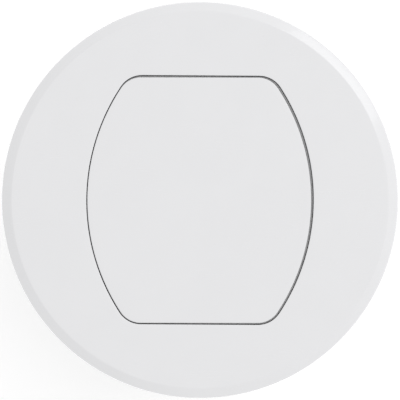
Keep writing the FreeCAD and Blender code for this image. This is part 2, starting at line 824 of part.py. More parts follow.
def make_tower_base():
    body = barrel(tower_inset, base_z, shell_z)
    plug = tower_inset + tower_wall + fit_gap
    body = body.fuse(barrel_ring(plug, plug + plug_wall, shell_z, shell_z + base_plug_depth))
    r = ear_radius()
    for s in (1, -1):
        x = s * rod_x
        web = box(min(x, s * ear_web_x), max(x, s * ear_web_x), -r, r, base_z, shell_z)
        body = body.fuse([web, rod(r, (x, 0, base_z), (x, 0, ear_top))])
        body = body.cut(rod(r - ear_wall, (x, 0, base_z), (x, 0, ear_top)))
    for x, y in shell_points:
        body = body.cut(rod(boss_radius + fit_gap, (x, y, shell_z), (x, y, shell_z + base_plug_depth)))
        outer_x = tower_half_x if x > 0 else -tower_half_x
        slot = rib_half_width + fit_gap
        body = body.cut(box(min(x, outer_x), max(x, outer_x), y - slot, y + slot, shell_z,
                            shell_z + base_plug_depth))
        body = body.cut(rod(screw_radius + screw_clear, (x, y, base_z), (x, y, shell_z)))
        body = body.cut(rod(screw_head_radius + head_clear, (x, y, base_z), (x, y,
                                                                             base_z + base_counterbore)))
    body = body.cut(rod(gland_radius() + fit_gap, (0, cord_y, base_z), (0, cord_y, shell_z)))
    for x in latch_screw_x():
        body = body.cut(rod(small_screw, (x, cam_screw_y(), base_z), (x, cam_screw_y(), base_z + 4.5)))
    tab = box(damper_back, damper_back + damper_tab, damper_y - damper_radius, damper_y + 5.0,
              damper_z - damper_radius, shell_z)
    tab = tab.cut(rod(2.2, (damper_back, damper_y, damper_z), (damper_back + damper_tab, damper_y,
                                                               damper_z)))
    body = body.fuse(tab)
    for dz in (-damper_screw_spread, damper_screw_spread):
        body = body.cut(rod(small_screw + fit_gap, (damper_back, damper_y, damper_z + dz),
                            (damper_back + damper_tab, damper_y, damper_z + dz)))
    return body


def make_base_screws():
    return Part.makeCompound([
        screw((x, y, base_z + base_counterbore), (0, 0, 1), base_screw_length) for x, y in shell_points
    ])


def make_guide_bushes():
    bushes = []
    for s in (1, -1):
        bushes.append(tube(rod_radius + bush_gap + bush_wall, rod_radius + bush_gap, base_z, ear_top,
                           s * rod_x))
    return Part.makeCompound(bushes)


# ---- damper ---------------------------------------------------------------
def make_damper_body():
    body = rod(damper_radius, (damper_x, damper_y, damper_z), (damper_back, damper_y, damper_z))
    front_edge = [e for e in body.Edges if e.isClosed() and abs(e.BoundBox.XMax - damper_x) < 1e-4]
    body = body.makeFillet(0.8, front_edge)
    body = body.cut(rod(damper_shaft_radius + 0.05, (damper_x, damper_y, damper_z),
                        (damper_x + 4.5, damper_y, damper_z)))
    for dz in (-damper_screw_spread, damper_screw_spread):
        body = body.cut(rod(small_screw, (damper_back - 3, damper_y, damper_z + dz),
                            (damper_back, damper_y, damper_z + dz)))
    return body


def make_damper_screws():
    seat = damper_back + damper_tab
    return Part.makeCompound([
        screw((seat, damper_y, damper_z + dz), (-1, 0, 0), damper_tab + 2.8, small_screw, small_head,
              small_head_height)
        for dz in (-damper_screw_spread, damper_screw_spread)
    ])


def make_damper_pinion():
    """Ten straight-flanked teeth round a shaft, with a gap facing the rack."""
    pitch_angle = 2 * math.pi / gear_teeth
    half_pitch = pitch_angle / 4 - gear_backlash / 4 / gear_radius
    root, tip = gear_radius - 1.15 * gear_module, gear_radius + 0.75 * gear_module
    half_root, half_tip = half_pitch * 1.15, half_pitch * 0.5
    points = []
    for n in range(gear_teeth):
        middle = math.pi / 2 + (n + 0.5) * pitch_angle
        for radius, offset in ((root, -half_root), (gear_radius, -half_pitch), (tip, -half_tip),
                               (tip, half_tip), (gear_radius, half_pitch), (root, half_root)):
            angle = middle + offset
            points.append(V(-gear_width / 2 + 0.2, damper_y + radius * math.sin(angle),
                            damper_z + radius * math.cos(angle)))
    gear = polygon_prism(points, V(gear_width - 0.4, 0, 0))
    shaft = rod(damper_shaft_radius, (-gear_width / 2 + 0.2, damper_y, damper_z),
                (damper_x + 4.2, damper_y, damper_z))
    return gear.fuse(shaft).removeSplitter()


# ---- cord gland -----------------------------------------------------------
def gland_radius():
    return cord_radius + gland_wall


nut_head = base_z - gland_collar - nut_gap
nut_foot = nut_head - nut_height


def hexagon(across, z0, z1):
    r = across / math.sqrt(3)
    return polygon_prism([V(r * math.cos(n * math.pi / 3), cord_y + r * math.sin(n * math.pi / 3), z0)
                          for n in range(6)], V(0, 0, z1 - z0))


def make_gland_body():
    across = 2 * (gland_radius() + gland_flat)
    outer = hexagon(across, base_z - 3, base_z)
    outer = outer.fuse(rod(gland_radius(), (0, cord_y, base_z), (0, cord_y, shell_z + 5)))
    outer = outer.fuse(rod(gland_radius(), (0, cord_y, base_z - 8), (0, cord_y, base_z - 3)))
    outer = outer.cut(rod(cord_radius + 0.6, (0, cord_y, base_z - 8), (0, cord_y, shell_z + 5)))
    return outer.cut(rod(cord_radius + 2.0, (0, cord_y, base_z - 8), (0, cord_y, base_z - 1.5)))


def make_gland_locknut():
    nut = hexagon(2 * (gland_radius() + nut_flat), shell_z, shell_z + locknut_height)
    return nut.cut(rod(gland_radius() + 0.05, (0, cord_y, shell_z), (0, cord_y, shell_z + locknut_height)))


def make_gland_bush():
    return tube(cord_radius + 1.9, cord_radius, nut_foot, base_z - 1.6, 0, cord_y)


def make_gland_nut():
    across = 2 * (gland_radius() + nut_flat)
    nut = hexagon(across, nut_foot, nut_head)
    dome = Part.makeCone(gland_radius() + 1.2, cord_radius + 2.4, 3.0, V(0, cord_y, nut_foot),
                         V(0, 0, -1))
    nut = nut.fuse(dome)
    nut = nut.cut(rod(gland_radius(), (0, cord_y, base_z - 8.2), (0, cord_y, nut_head)))
    nut = nut.cut(rod(cord_radius + 1.95, (0, cord_y, nut_foot), (0, cord_y, base_z - 8.0)))
    return nut.cut(rod(cord_radius + 0.5, (0, cord_y, base_z - 12.3), (0, cord_y, nut_foot)))


# ---- sockets --------------------------------------------------------------
face_y = front + face_recess
seat_y = face_y + face_thickness
body_y = seat_y + body_depth
rear_y = body_y + rear_cover_depth
socket_heights = {"upper": device_z + socket_offset, "lower": device_z - socket_offset}
button_places = {"test": -button_x, "reset": button_x}


def make_socket_face():
    face = plate(0, face_width, face_y, seat_y, device_z, face_height)
    edges = [e for e in face.Edges if abs(e.BoundBox.YMax - face_y) < 1e-4]
    face = face.makeFillet(0.6, edges)
    rim_y = front + tower_wall
    face = face.fuse(plate(0, face_width + 2 * face_rim, rim_y, seat_y, device_z,
                           face_height + 2 * face_rim))
    for z in socket_heights.values():
        blades = z + blade_lift
        face = face.cut(plate(blade_spread, blade_slot, face_y, seat_y, blades, line_slot_height))
        face = face.cut(plate(-blade_spread, blade_slot, face_y, seat_y, blades, neutral_slot_height))
        face = face.cut(earth_prism(earth_hole, face_y, seat_y, z))
    for x in button_places.values():
        face = face.cut(plate(x, button_width + 2 * button_gap, face_y, seat_y, device_z,
                              button_height + 2 * button_gap))
    lens = (0, face_y, device_z + lens_rise)
    return face.cut(rod(lens_radius, lens, (0, seat_y, device_z + lens_rise)))


def earth_prism(radius, y0, y1, z):
    """The D-shaped earth hole: round below, square above."""
    centre = z - earth_drop
    return rod(radius, (0, y0, centre), (0, y1, centre)).fuse(
        box(-radius, radius, y0, y1, centre, centre + radius * 0.9))


def make_socket_body():
    body = plate(0, body_width, seat_y, body_y, device_z, body_height)
    pocket_y = seat_y + shutter_thickness + 2 * shutter_gap
    for z in socket_heights.values():
        blades = z + blade_lift
        left = -shutter_width / 2 - 0.3
        right = shutter_width / 2 + shutter_travel + 0.3
        half = shutter_height / 2 + shutter_gap
        body = body.cut(box(left, right, seat_y, pocket_y, blades - half, blades + half))
        body = body.cut(rod(1.1, (right - 0.5, seat_y + 1.2, blades), (body_width / 2 - 0.7,
                                                                        seat_y + 1.2, blades)))
        for x in (blade_spread, -blade_spread):
            body = body.cut(plate(x, 5.2, pocket_y - 0.1, body_y, blades, 9.6))
        body = body.cut(rod(4.0, (0, seat_y + 2, z - earth_drop), (0, body_y, z - earth_drop)))
        body = body.cut(earth_prism(earth_hole + 0.1, seat_y, seat_y + 2.1, z))
    for x in button_places.values():
        body = body.cut(plate(x, button_width + 2 * (button_flange + button_gap), seat_y,
                              seat_y + button_pocket, device_z,
                              button_height + 2 * (button_flange + button_gap)))
    for x in (blade_spread, -blade_spread):
        body = body.cut(rod(small_screw, (x, body_y - terminal_depth, terminal_z()),
                            (x, body_y, terminal_z())))
    lens = device_z + lens_rise
    return body.cut(rod(lens_radius, (0, seat_y, lens), (0, body_y, lens)))


def make_contacts(x, slot_height):
    """A bus strip behind both sockets, with a pair of spring leaves for each blade."""
    half = body_height / 2 - 2.5
    bus = box(x - bus_width / 2, x + bus_width / 2, body_y, body_y + contact_sheet, device_z - half,
              device_z + half)
    for z in socket_heights.values():
        for side in (1, -1):
            leaf = plate(x + side * (blade_slot / 2 + 0.25), 0.5, body_y - contact_length, body_y,
                         z + blade_lift, slot_height)
            bus = bus.fuse(leaf)
    bus = bus.cut(rod(small_screw + fit_gap, (x, body_y, terminal_z()), (x, body_y + 1, terminal_z())))
    return bus.removeSplitter()


def terminal_z():
    return device_z - body_height / 2 + 5.5


def make_earth_contacts():
    half = body_height / 2 - 2.5
    bus = box(-1.5, 1.5, body_y, body_y + contact_sheet, device_z - half, device_z + half)
    for z in socket_heights.values():
        centre = z - earth_drop
        sleeve = rod(3.5, (0, body_y - contact_length, centre), (0, body_y, centre))
        sleeve = sleeve.cut(rod(2.9, (0, body_y - contact_length, centre), (0, body_y, centre)))
        bus = bus.fuse(sleeve)
    return bus.removeSplitter()


def make_socket_rear_cover():
    cover = plate(0, body_width, body_y, rear_y, device_z, body_height)
    cover = cover.cut(plate(0, body_width - 6, body_y, rear_y - 1.6, device_z, body_height - 4))
    for x in (blade_spread, -blade_spread):
        cover = cover.cut(rod(2.6, (x, body_y, terminal_z()), (x, rear_y, terminal_z())))
    return cover


def make_terminal_screws():
    return Part.makeCompound([
        screw((x, body_y + contact_sheet, terminal_z()), (0, -1, 0), contact_sheet + terminal_depth,
              small_screw,
              small_head, small_head_height)
        for x in (blade_spread, -blade_spread)
    ])


def make_shutter(name):
    """A sliding plate whose windows line up with the blade slots once it has moved."""
    z = socket_heights[name] + blade_lift
    y0 = seat_y + shutter_gap
    y1 = y0 + shutter_thickness
    slider = plate(0, shutter_width, y0, y1, z, shutter_height)
    for x, height in ((blade_spread, line_slot_height), (-blade_spread, neutral_slot_height)):
        slider = slider.cut(plate(x - shutter_travel, blade_slot + 0.3, y0, y1, z, height + 0.5))
        ramp = [V(x - shutter_travel + 0.9, y0, z - height / 2), V(x + 0.9, y0, z - height / 2),
                V(x - shutter_travel + 0.9, y0 + 1.5, z - height / 2)]
        slider = slider.cut(polygon_prism(ramp, V(0, 0, height)))
    return slider


def make_shutter_spring(name):
    z = socket_heights[name] + blade_lift
    start = shutter_width / 2
    length = body_width / 2 - 0.7 - start
    return along(coil(0.75, fine_wire, length, 5, fine_sides), (start, seat_y + 1.2, z), (1, 0, 0))


def make_button(x):
    y0 = face_y - button_proud
    y1 = seat_y + 0.2
    stem = plate(x, button_width, y0, y1 + 1.0, device_z, button_height)
    edges = [e for e in stem.Edges if abs(e.BoundBox.YMax - y0) < 1e-4]
    stem = stem.makeFillet(0.5, edges)
    flange = plate(x, button_width + 2 * button_flange, y1, y1 + 1.0, device_z,
                   button_height + 2 * button_flange)
    return stem.fuse(flange)


def make_button_spring(x):
    start = seat_y + 1.2
    spring = coil(1.6, fine_wire, seat_y + button_pocket - start, 5, fine_sides)
    return along(spring, (x, start, device_z), (0, 1, 0))


def make_indicator_lens():
    z = device_z + lens_rise
    lens = rod(lens_radius, (0, face_y - lens_proud, z), (0, body_y, z))
    edge = [e for e in lens.Edges if e.isClosed() and abs(e.BoundBox.YMax - face_y + lens_proud) < 1e-4]
    return lens.makeFillet(lens_proud * 0.9, edge)


def make_control_board():
    """Circuit board behind the sockets, with its relay, sensing ring and small parts."""
    y0 = rear_y + 1.0
    y1 = y0 + board_thickness
    board = plate(0, board_width, y0, y1, device_z, board_height)
    relay = plate(0, 15, y1, y1 + 9, device_z + 16, 12)
    supply = plate(-9, 6, y1, y1 + 5, device_z - 6, 14)
    chip = plate(9, 7, y1, y1 + 4, device_z - 3, 9)
    ring_z = device_z - 19
    ring = rod(6.5, (0, y1, ring_z), (0, y1 + 7, ring_z))
    capacitor = rod(2.5, (10, y1, device_z + 6), (10, y1 + 8, device_z + 6))
    board = board.fuse([relay, supply, chip, ring, capacitor])
    board = board.cut(rod(3.2, (0, y1, ring_z), (0, y1 + 7, ring_z)))
    for z in (device_z + post_spread_z, device_z - post_spread_z):
        for x in (-post_spread_x, post_spread_x):
            board = board.fuse(rod(1.2, (x, rear_y, z), (x, y0, z)))
    return board


# ---- USB ------------------------------------------------------------------
usb_face_y = back - face_recess
usb_seat_y = usb_face_y - face_thickness
usb_board_y = usb_face_y - usb_port_depth - 1.0
usb_a_heights = (usb_z + usb_spacing, usb_z)
usb_c_height_z = usb_z - usb_spacing


def make_usb_face():
    face = plate(0, face_width, usb_seat_y, usb_face_y, usb_z, usb_face_height)
    edges = [e for e in face.Edges if abs(e.BoundBox.YMin - usb_face_y) < 1e-4]
    face = face.makeFillet(0.6, edges)
    face = face.fuse(plate(0, face_width + 2 * face_rim, usb_seat_y, back - tower_wall, usb_z,
                           usb_face_height + 2 * face_rim))
    for z in usb_a_heights:
        face = face.cut(plate(0, usb_a_width + 0.3, usb_seat_y, usb_face_y, z, usb_a_height + 0.3))
    port = rounded_plate(usb_c_width + 0.3, usb_c_height + 0.3, usb_seat_y, usb_face_y,
                         usb_c_height_z)
    return face.cut(port)


def rounded_plate(width, height, y0, y1, z):
    """A slot-shaped prism along Y with round ends."""
    r = height / 2
    x = width / 2 - r
    return joined(plate(0, 2 * x, y0, y1, z, height), rod(r, (-x, y0, z), (-x, y1, z)),
                  rod(r, (x, y0, z), (x, y1, z)))


def make_usb_a_ports():
    """Sheet-metal shells, closed at the board, open outwards."""
    y1 = usb_face_y - 0.3
    y0 = usb_board_y + board_thickness
    shells = []
    for z in usb_a_heights:
        shell = plate(0, usb_a_width, y0, y1, z, usb_a_height)
        shells.append(shell.cut(plate(0, usb_a_width - 2 * usb_sheet, y0 + usb_sheet, y1, z,
                                      usb_a_height - 2 * usb_sheet)))
    return Part.makeCompound(shells)


def make_usb_a_tongues():
    y1 = usb_face_y - 1.4
    y0 = usb_board_y + board_thickness + usb_sheet
    return Part.makeCompound([plate(0, usb_a_width - 2.6, y0, y1, z + 0.9, 1.8)
                              for z in usb_a_heights])


def make_usb_c_port():
    y1 = usb_face_y - 0.3
    y0 = usb_board_y + board_thickness
    shell = rounded_plate(usb_c_width, usb_c_height, y0, y1, usb_c_height_z)
    shell = shell.cut(rounded_plate(usb_c_width - 2 * usb_sheet, usb_c_height - 2 * usb_sheet,
                                    y0 + 4, y1, usb_c_height_z))
    return shell.fuse(plate(0, 6.4, y0 + 4, y1 - 1.2, usb_c_height_z, 0.7))


def make_usb_board():
    y0, y1 = usb_board_y, usb_board_y + board_thickness
    board = plate(0, usb_board_width, y0, y1, usb_z, usb_board_height)
    transformer = plate(-2, 14, y0 - 8, y0, usb_z + 8, 12)
    chip = plate(8, 5, y0 - 4, y0, usb_z - 6, 8)
    capacitor = rod(3.0, (-7, y0 - 9, usb_z - 9), (-7, y0, usb_z - 9))
    return board.fuse([transformer, chip, capacitor])


def make_usb_case():
    """Rear box over the USB board, open towards the face."""
    y1 = usb_seat_y
    y0 = y1 - usb_case_depth
    outer = plate(0, face_width, y0, y1, usb_z, usb_face_height)
    inner = plate(0, face_width - 2 * usb_case_wall, y0 + usb_case_wall, y1, usb_z,
                  usb_face_height - 2 * usb_case_wall)
    case = outer.cut(inner)
    for s in (1, -1):
        ledge = box(min(s * 12, s * 15.4), max(s * 12, s * 15.4), y0 + usb_case_wall, usb_board_y,
                    usb_z - 17, usb_z - 14)
        case = case.fuse(ledge)
    return case.cut(rod(3, (0, y0, usb_z - 14), (0, y0 + usb_case_wall, usb_z - 14)))


# ---- worktop clamp --------------------------------------------------------
washer_top = -worktop_thickness
ring_top = washer_top - washer_thickness


def make_clamp_washer():
    inner = thread_crest_radius + washer_gap
    return tube(inner + washer_width, inner, ring_top, washer_top)


def make_lock_ring():
    bore = thread_crest_radius + ring_clearance
    outer = bore + ring_wall
    low = ring_top - ring_height
    ring = tube(outer, bore, low, ring_top)
    edges = [e for e in ring.Edges if e.isClosed() and abs(e.BoundBox.XMax - outer) < 1e-4
             and e.BoundBox.ZLength < 1e-4]
    ring = ring.makeFillet(1.2, edges)
    reach = outer + lobe_cut_radius - lobe_cut_depth
    for n in range(ring_lobes):
        angle = 2 * math.pi * n / ring_lobes
        x, y = reach * math.cos(angle), reach * math.sin(angle)
        ring = ring.cut(rod(lobe_cut_radius, (x, y, low - 1), (x, y, ring_top - 2.5)))
    start = low + ring_thread_base
    start += (thread_start + thread_pitch / 2 - start) % thread_pitch
    turns = math.floor((ring_top - ring_thread_base / 2 - start) / thread_pitch * 4) / 4
    ridge = thread_ridge(bore, thread_root + ring_clearance, ring_thread_base, ring_thread_crest,
                         start, turns)
    return ring.fuse(ridge)


# ---- export ---------------------------------------------------------------
def pieces():
    made = {
        "trim_ring": make_trim_ring(), "housing": make_housing(), "wiper_seal": make_wiper_seal(),
        "flange_gasket": make_flange_gasket(), "guide_rods": make_guide_rods(),
        "stop_bumpers": make_stop_bumpers(), "lift_spring_left": make_lift_spring(-1),
        "lift_spring_right": make_lift_spring(1), "damper_rack": make_damper_rack(),
        "rack_screws": make_rack_screws(), "bottom_cap": make_bottom_cap(),
        "cap_screws": make_cap_screws(), "cord_grommet": make_cord_grommet(),
        "latch_block": make_latch_block(), "latch_wire": make_latch_wire(),
        "latch_screws": make_latch_screws(), "lid_cover": make_lid_cover(),
        "lid_carrier": make_lid_carrier(), "lid_seal": make_lid_seal(),
        "lid_screws": make_lid_screws(), "tower_front_shell": make_tower_front_shell(),
        "tower_back_shell": make_tower_back_shell(), "tower_base": make_tower_base(),
        "base_screws": make_base_screws(), "guide_bushes": make_guide_bushes(),
        "heart_cam": make_heart_cam(), "cam_screws": make_cam_screws(),
        "damper_body": make_damper_body(), "damper_screws": make_damper_screws(),
        "damper_pinion": make_damper_pinion(), "gland_body": make_gland_body(),
        "gland_locknut": make_gland_locknut(), "gland_bush": make_gland_bush(),
        "gland_nut": make_gland_nut(), "socket_face": make_socket_face(),
        "socket_body": make_socket_body(),
        "line_contacts": make_contacts(blade_spread, line_slot_height),
        "neutral_contacts": make_contacts(-blade_spread, neutral_slot_height),
        "earth_contacts": make_earth_contacts(), "socket_rear_cover": make_socket_rear_cover(),
        "terminal_screws": make_terminal_screws(), "indicator_lens": make_indicator_lens(),
        "control_board": make_control_board(), "usb_face": make_usb_face(),
        "usb_a_ports": make_usb_a_ports(), "usb_a_tongues": make_usb_a_tongues(),
        "usb_c_port": make_usb_c_port(), "usb_board": make_usb_board(),
        "usb_case": make_usb_case(), "clamp_washer": make_clamp_washer(),
        "lock_ring": make_lock_ring(),
    }
    for name in socket_heights:
        made["shutter_" + name] = make_shutter(name)
        made["shutter_spring_" + name] = make_shutter_spring(name)
    for name, x in button_places.items():
        made[name + "_button"] = make_button(x)
        made[name + "_button_spring"] = make_button_spring(x)
    return made


os.makedirs("parts", exist_ok=True)
for name, shape in pieces().items():
    shape.exportStep("parts/" + name + ".step")
    print(f"{name:24s} solids {len(shape.Solids)} valid {shape.isValid()} volume {shape.Volume:.1f}")
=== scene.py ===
"""Visual model of a round pop-up desk power unit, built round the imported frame.

Every length is in metres, in the frame's own axes: +Z up, the mains sockets face -Y, the USB ports +Y.
"""
from __future__ import annotations

import json
import logging
import math
from dataclasses import dataclass, field
from enum import Enum

import bpy
import numpy as np
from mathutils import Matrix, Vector

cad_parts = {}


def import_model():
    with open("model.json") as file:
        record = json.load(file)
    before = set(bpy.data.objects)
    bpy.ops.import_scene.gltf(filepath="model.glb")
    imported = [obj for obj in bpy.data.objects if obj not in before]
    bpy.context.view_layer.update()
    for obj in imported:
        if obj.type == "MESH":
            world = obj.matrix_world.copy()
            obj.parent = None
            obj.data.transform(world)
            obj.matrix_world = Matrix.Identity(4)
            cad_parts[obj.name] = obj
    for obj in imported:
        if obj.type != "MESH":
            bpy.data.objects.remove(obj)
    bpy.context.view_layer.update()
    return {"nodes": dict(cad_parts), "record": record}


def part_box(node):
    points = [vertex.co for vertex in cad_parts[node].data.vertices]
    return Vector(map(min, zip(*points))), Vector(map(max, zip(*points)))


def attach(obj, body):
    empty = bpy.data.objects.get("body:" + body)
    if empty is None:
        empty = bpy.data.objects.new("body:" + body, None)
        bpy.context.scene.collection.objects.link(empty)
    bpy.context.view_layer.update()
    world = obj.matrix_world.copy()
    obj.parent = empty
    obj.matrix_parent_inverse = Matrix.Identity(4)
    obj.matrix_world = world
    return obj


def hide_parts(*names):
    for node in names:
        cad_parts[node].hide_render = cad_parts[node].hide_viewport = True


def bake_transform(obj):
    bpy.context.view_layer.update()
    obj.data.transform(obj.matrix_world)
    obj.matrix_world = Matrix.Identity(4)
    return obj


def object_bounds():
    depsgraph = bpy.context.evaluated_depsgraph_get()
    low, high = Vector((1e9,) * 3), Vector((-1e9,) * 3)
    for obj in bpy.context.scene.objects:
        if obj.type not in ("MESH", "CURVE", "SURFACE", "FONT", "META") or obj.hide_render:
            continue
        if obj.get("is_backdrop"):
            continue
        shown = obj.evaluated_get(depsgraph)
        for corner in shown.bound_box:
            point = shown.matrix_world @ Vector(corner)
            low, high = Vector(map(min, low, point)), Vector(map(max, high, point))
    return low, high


LOG = logging.getLogger("power_unit")
MM = 0.001


# ---- mesh making ----------------------------------------------------------
class Closing(Enum):
    """How the two ends of a stack of loops are finished."""

    WRAPPED = "the last loop joins the first"
    CAPPED = "each end is closed by a fan onto its middle"


def rows(*loops: np.ndarray) -> np.ndarray:
    """Stacks loops of equal length into one (rows, points, 3) array."""
    return np.stack(loops, axis=0)


def stitched(loops: np.ndarray, closing: Closing) -> tuple[np.ndarray, np.ndarray]:
    """Vertices and faces of the surface through a stack of closed loops.

    Point j of loop i is joined to point j+1 of loop i and to the same two points of loop i+1. Indices
    are worked out as whole arrays: (i, j), (i, j+1), (i+1, j+1), (i+1, j), all modulo the loop length.

    Args:
        loops: (rows, points, 3) positions.
        closing: how the first and last loops are finished.

    Returns:
        Vertices (n, 3) and faces (m, 4); a fan's faces repeat their last index.
    """
    count_rows, count, _ = loops.shape
    span = count_rows if closing is Closing.WRAPPED else count_rows - 1
    i, j = np.meshgrid(np.arange(span), np.arange(count), indexing="ij")
    down, across = (i + 1) % count_rows, (j + 1) % count
    faces = np.stack([i * count + j, i * count + across, down * count + across, down * count + j], -1)
    faces = faces.reshape(-1, 4)
    points = loops.reshape(-1, 3)
    if closing is Closing.CAPPED:
        poles = np.stack([loops[0].mean(0), loops[-1].mean(0)])
        first, last = len(points), len(points) + 1
        ring = np.arange(count)
        nxt = (ring + 1) % count
        base = (count_rows - 1) * count
        low = np.stack([np.full(count, first), nxt, ring, ring], -1)
        high = np.stack([np.full(count, last), base + ring, base + nxt, base + nxt], -1)
        faces = np.concatenate([faces, low, high])
        points = np.concatenate([points, poles])
    return points, faces


def made_object(name: str, shells: list[tuple[np.ndarray, np.ndarray]], sharp_angle: float = 32.0
                ) -> bpy.types.Object:
    """One object from closed shells, smooth except along edges sharper than an angle.

    Args:
        name: the piece's name.
        shells: vertices and faces of each shell, as stitched() gives them.
        sharp_angle: in degrees.

    Returns:
        The linked object, at the origin.
    """
    points = np.concatenate([p for p, _ in shells])
    starts = np.cumsum([0] + [len(p) for p, _ in shells[:-1]])
    faces = np.concatenate([f + s for (_, f), s in zip(shells, starts)])
    fans = faces[:, 2] == faces[:, 3]
    polygons = faces[~fans].tolist() + faces[fans][:, :3].tolist()
    mesh = bpy.data.meshes.new(name)
    mesh.from_pydata(points.tolist(), [], polygons)
    mesh.validate()
    mesh.polygons.foreach_set("use_smooth", np.ones(len(mesh.polygons), bool))
    mesh.set_sharp_from_angle(angle=math.radians(sharp_angle))
    mesh.update()
    piece = bpy.data.objects.new(name, mesh)
    bpy.context.scene.collection.objects.link(piece)
    return piece


def rounding(radius: float, steps: int) -> tuple[np.ndarray, np.ndarray]:
    """A quarter circle as (inwards, upwards) offsets: r(1 - cos t) and r sin t for t from 0 to 90."""
    t = np.linspace(0, math.pi / 2, steps)
    return radius * (1 - np.cos(t)), radius * np.sin(t)


@dataclass(frozen=True)
class BarrelOutline:
    """A rectangle with bulging left and right sides and rounded corners.

    Attributes:
        half_x: half the width at the middle of the bulging sides.
        half_y: half the depth between the straight edges.
        side_radius: radius of the bulging sides.
        corner_radius: radius of the four corners.
        side_steps: points on half a side.
        corner_steps: points on a corner.
        edge_steps: points on half a straight edge.
        least_corner: smallest corner radius that an inset leaves.
    """

    half_x: float
    half_y: float
    side_radius: float
    corner_radius: float
    side_steps: int = 40
    corner_steps: int = 14
    edge_steps: int = 24
    least_corner: float = 0.4 * MM

    def loop(self, inset: float, z: float) -> np.ndarray:
        """The outline moved inwards by inset, anticlockwise, at height z.

        A quarter is half a side arc about (half_x - side_radius, 0), a corner arc about the point at
        equal distance from side and edge, and half the straight edge. Mirroring gives the other three.

        Args:
            inset: how far inside the outline; negative is outside.
            z: height.

        Returns:
            (points, 3) positions.
        """
        r = max(self.corner_radius - inset, self.least_corner)
        cy = self.half_y - inset - r
        side_x = self.half_x - self.side_radius
        cx = side_x + math.sqrt((self.side_radius - inset - r) ** 2 - cy ** 2)
        turn = math.atan2(cy, cx - side_x)
        side = np.linspace(0, turn, self.side_steps, endpoint=False)
        corner = np.linspace(turn, math.pi / 2, self.corner_steps, endpoint=False)
        edge = np.linspace(cx, 0, self.edge_steps, endpoint=False)
        reach = self.side_radius - inset
        x = np.concatenate([side_x + reach * np.cos(side), cx + r * np.cos(corner), edge])
        y = np.concatenate([reach * np.sin(side), cy + r * np.sin(corner),
                            np.full(self.edge_steps, self.half_y - inset)])
        quarter = np.stack([x, y], -1)
        top = np.array([[0.0, self.half_y - inset]])
        mirrored = quarter[::-1][: len(quarter) - 1] * [-1, 1]
        half = np.concatenate([quarter, top, mirrored])
        flat = np.concatenate([half, -half])
        return np.concatenate([flat, np.full((len(flat), 1), z)], -1)


def circle_loop(like: np.ndarray, radius: float, z: float, centre: tuple[float, float] = (0, 0)
                ) -> np.ndarray:
    """A circle whose points lie in the same directions from the centre as the points of like."""
    angle = np.arctan2(like[:, 1], like[:, 0])
    return np.stack([centre[0] + radius * np.cos(angle), centre[1] + radius * np.sin(angle),
                     np.full(len(like), z)], -1)


def even_circle(count: int) -> np.ndarray:
    """Unit circle directions, anticlockwise, as a loop for circle_loop."""
    t = np.linspace(0, 2 * math.pi, count, endpoint=False)
    return np.stack([np.cos(t), np.sin(t), np.zeros(count)], -1)


def swept_tube(path: np.ndarray, radius: float, sides: int) -> tuple[np.ndarray, np.ndarray]:
    """A round wire along a path, closed at both ends.

    The tangent comes from differences of neighbouring points. Each section starts in the direction from
    the coil's axis, made square to the tangent, so that neighbouring sections don't twist.

    Args:
        path: (points, 3) centre line, winding about the Z direction through its mean.
        radius: of the wire.
        sides: points round the wire.

    Returns:
        Vertices and faces.
    """
    tangent = np.gradient(path, axis=0)
    tangent /= np.linalg.norm(tangent, axis=1, keepdims=True)
    middle = path[:, :2].mean(0)
    outward = np.concatenate([path[:, :2] - middle, np.zeros((len(path), 1))], -1)
    outward -= (outward * tangent).sum(1, keepdims=True) * tangent
    outward /= np.linalg.norm(outward, axis=1, keepdims=True)
    side = np.cross(tangent, outward)
    t = np.linspace(0, 2 * math.pi, sides, endpoint=False)
    ring = outward[:, None] * np.cos(t)[None, :, None] + side[:, None] * np.sin(t)[None, :, None]
    return stitched(path[:, None] + radius * ring, Closing.CAPPED)


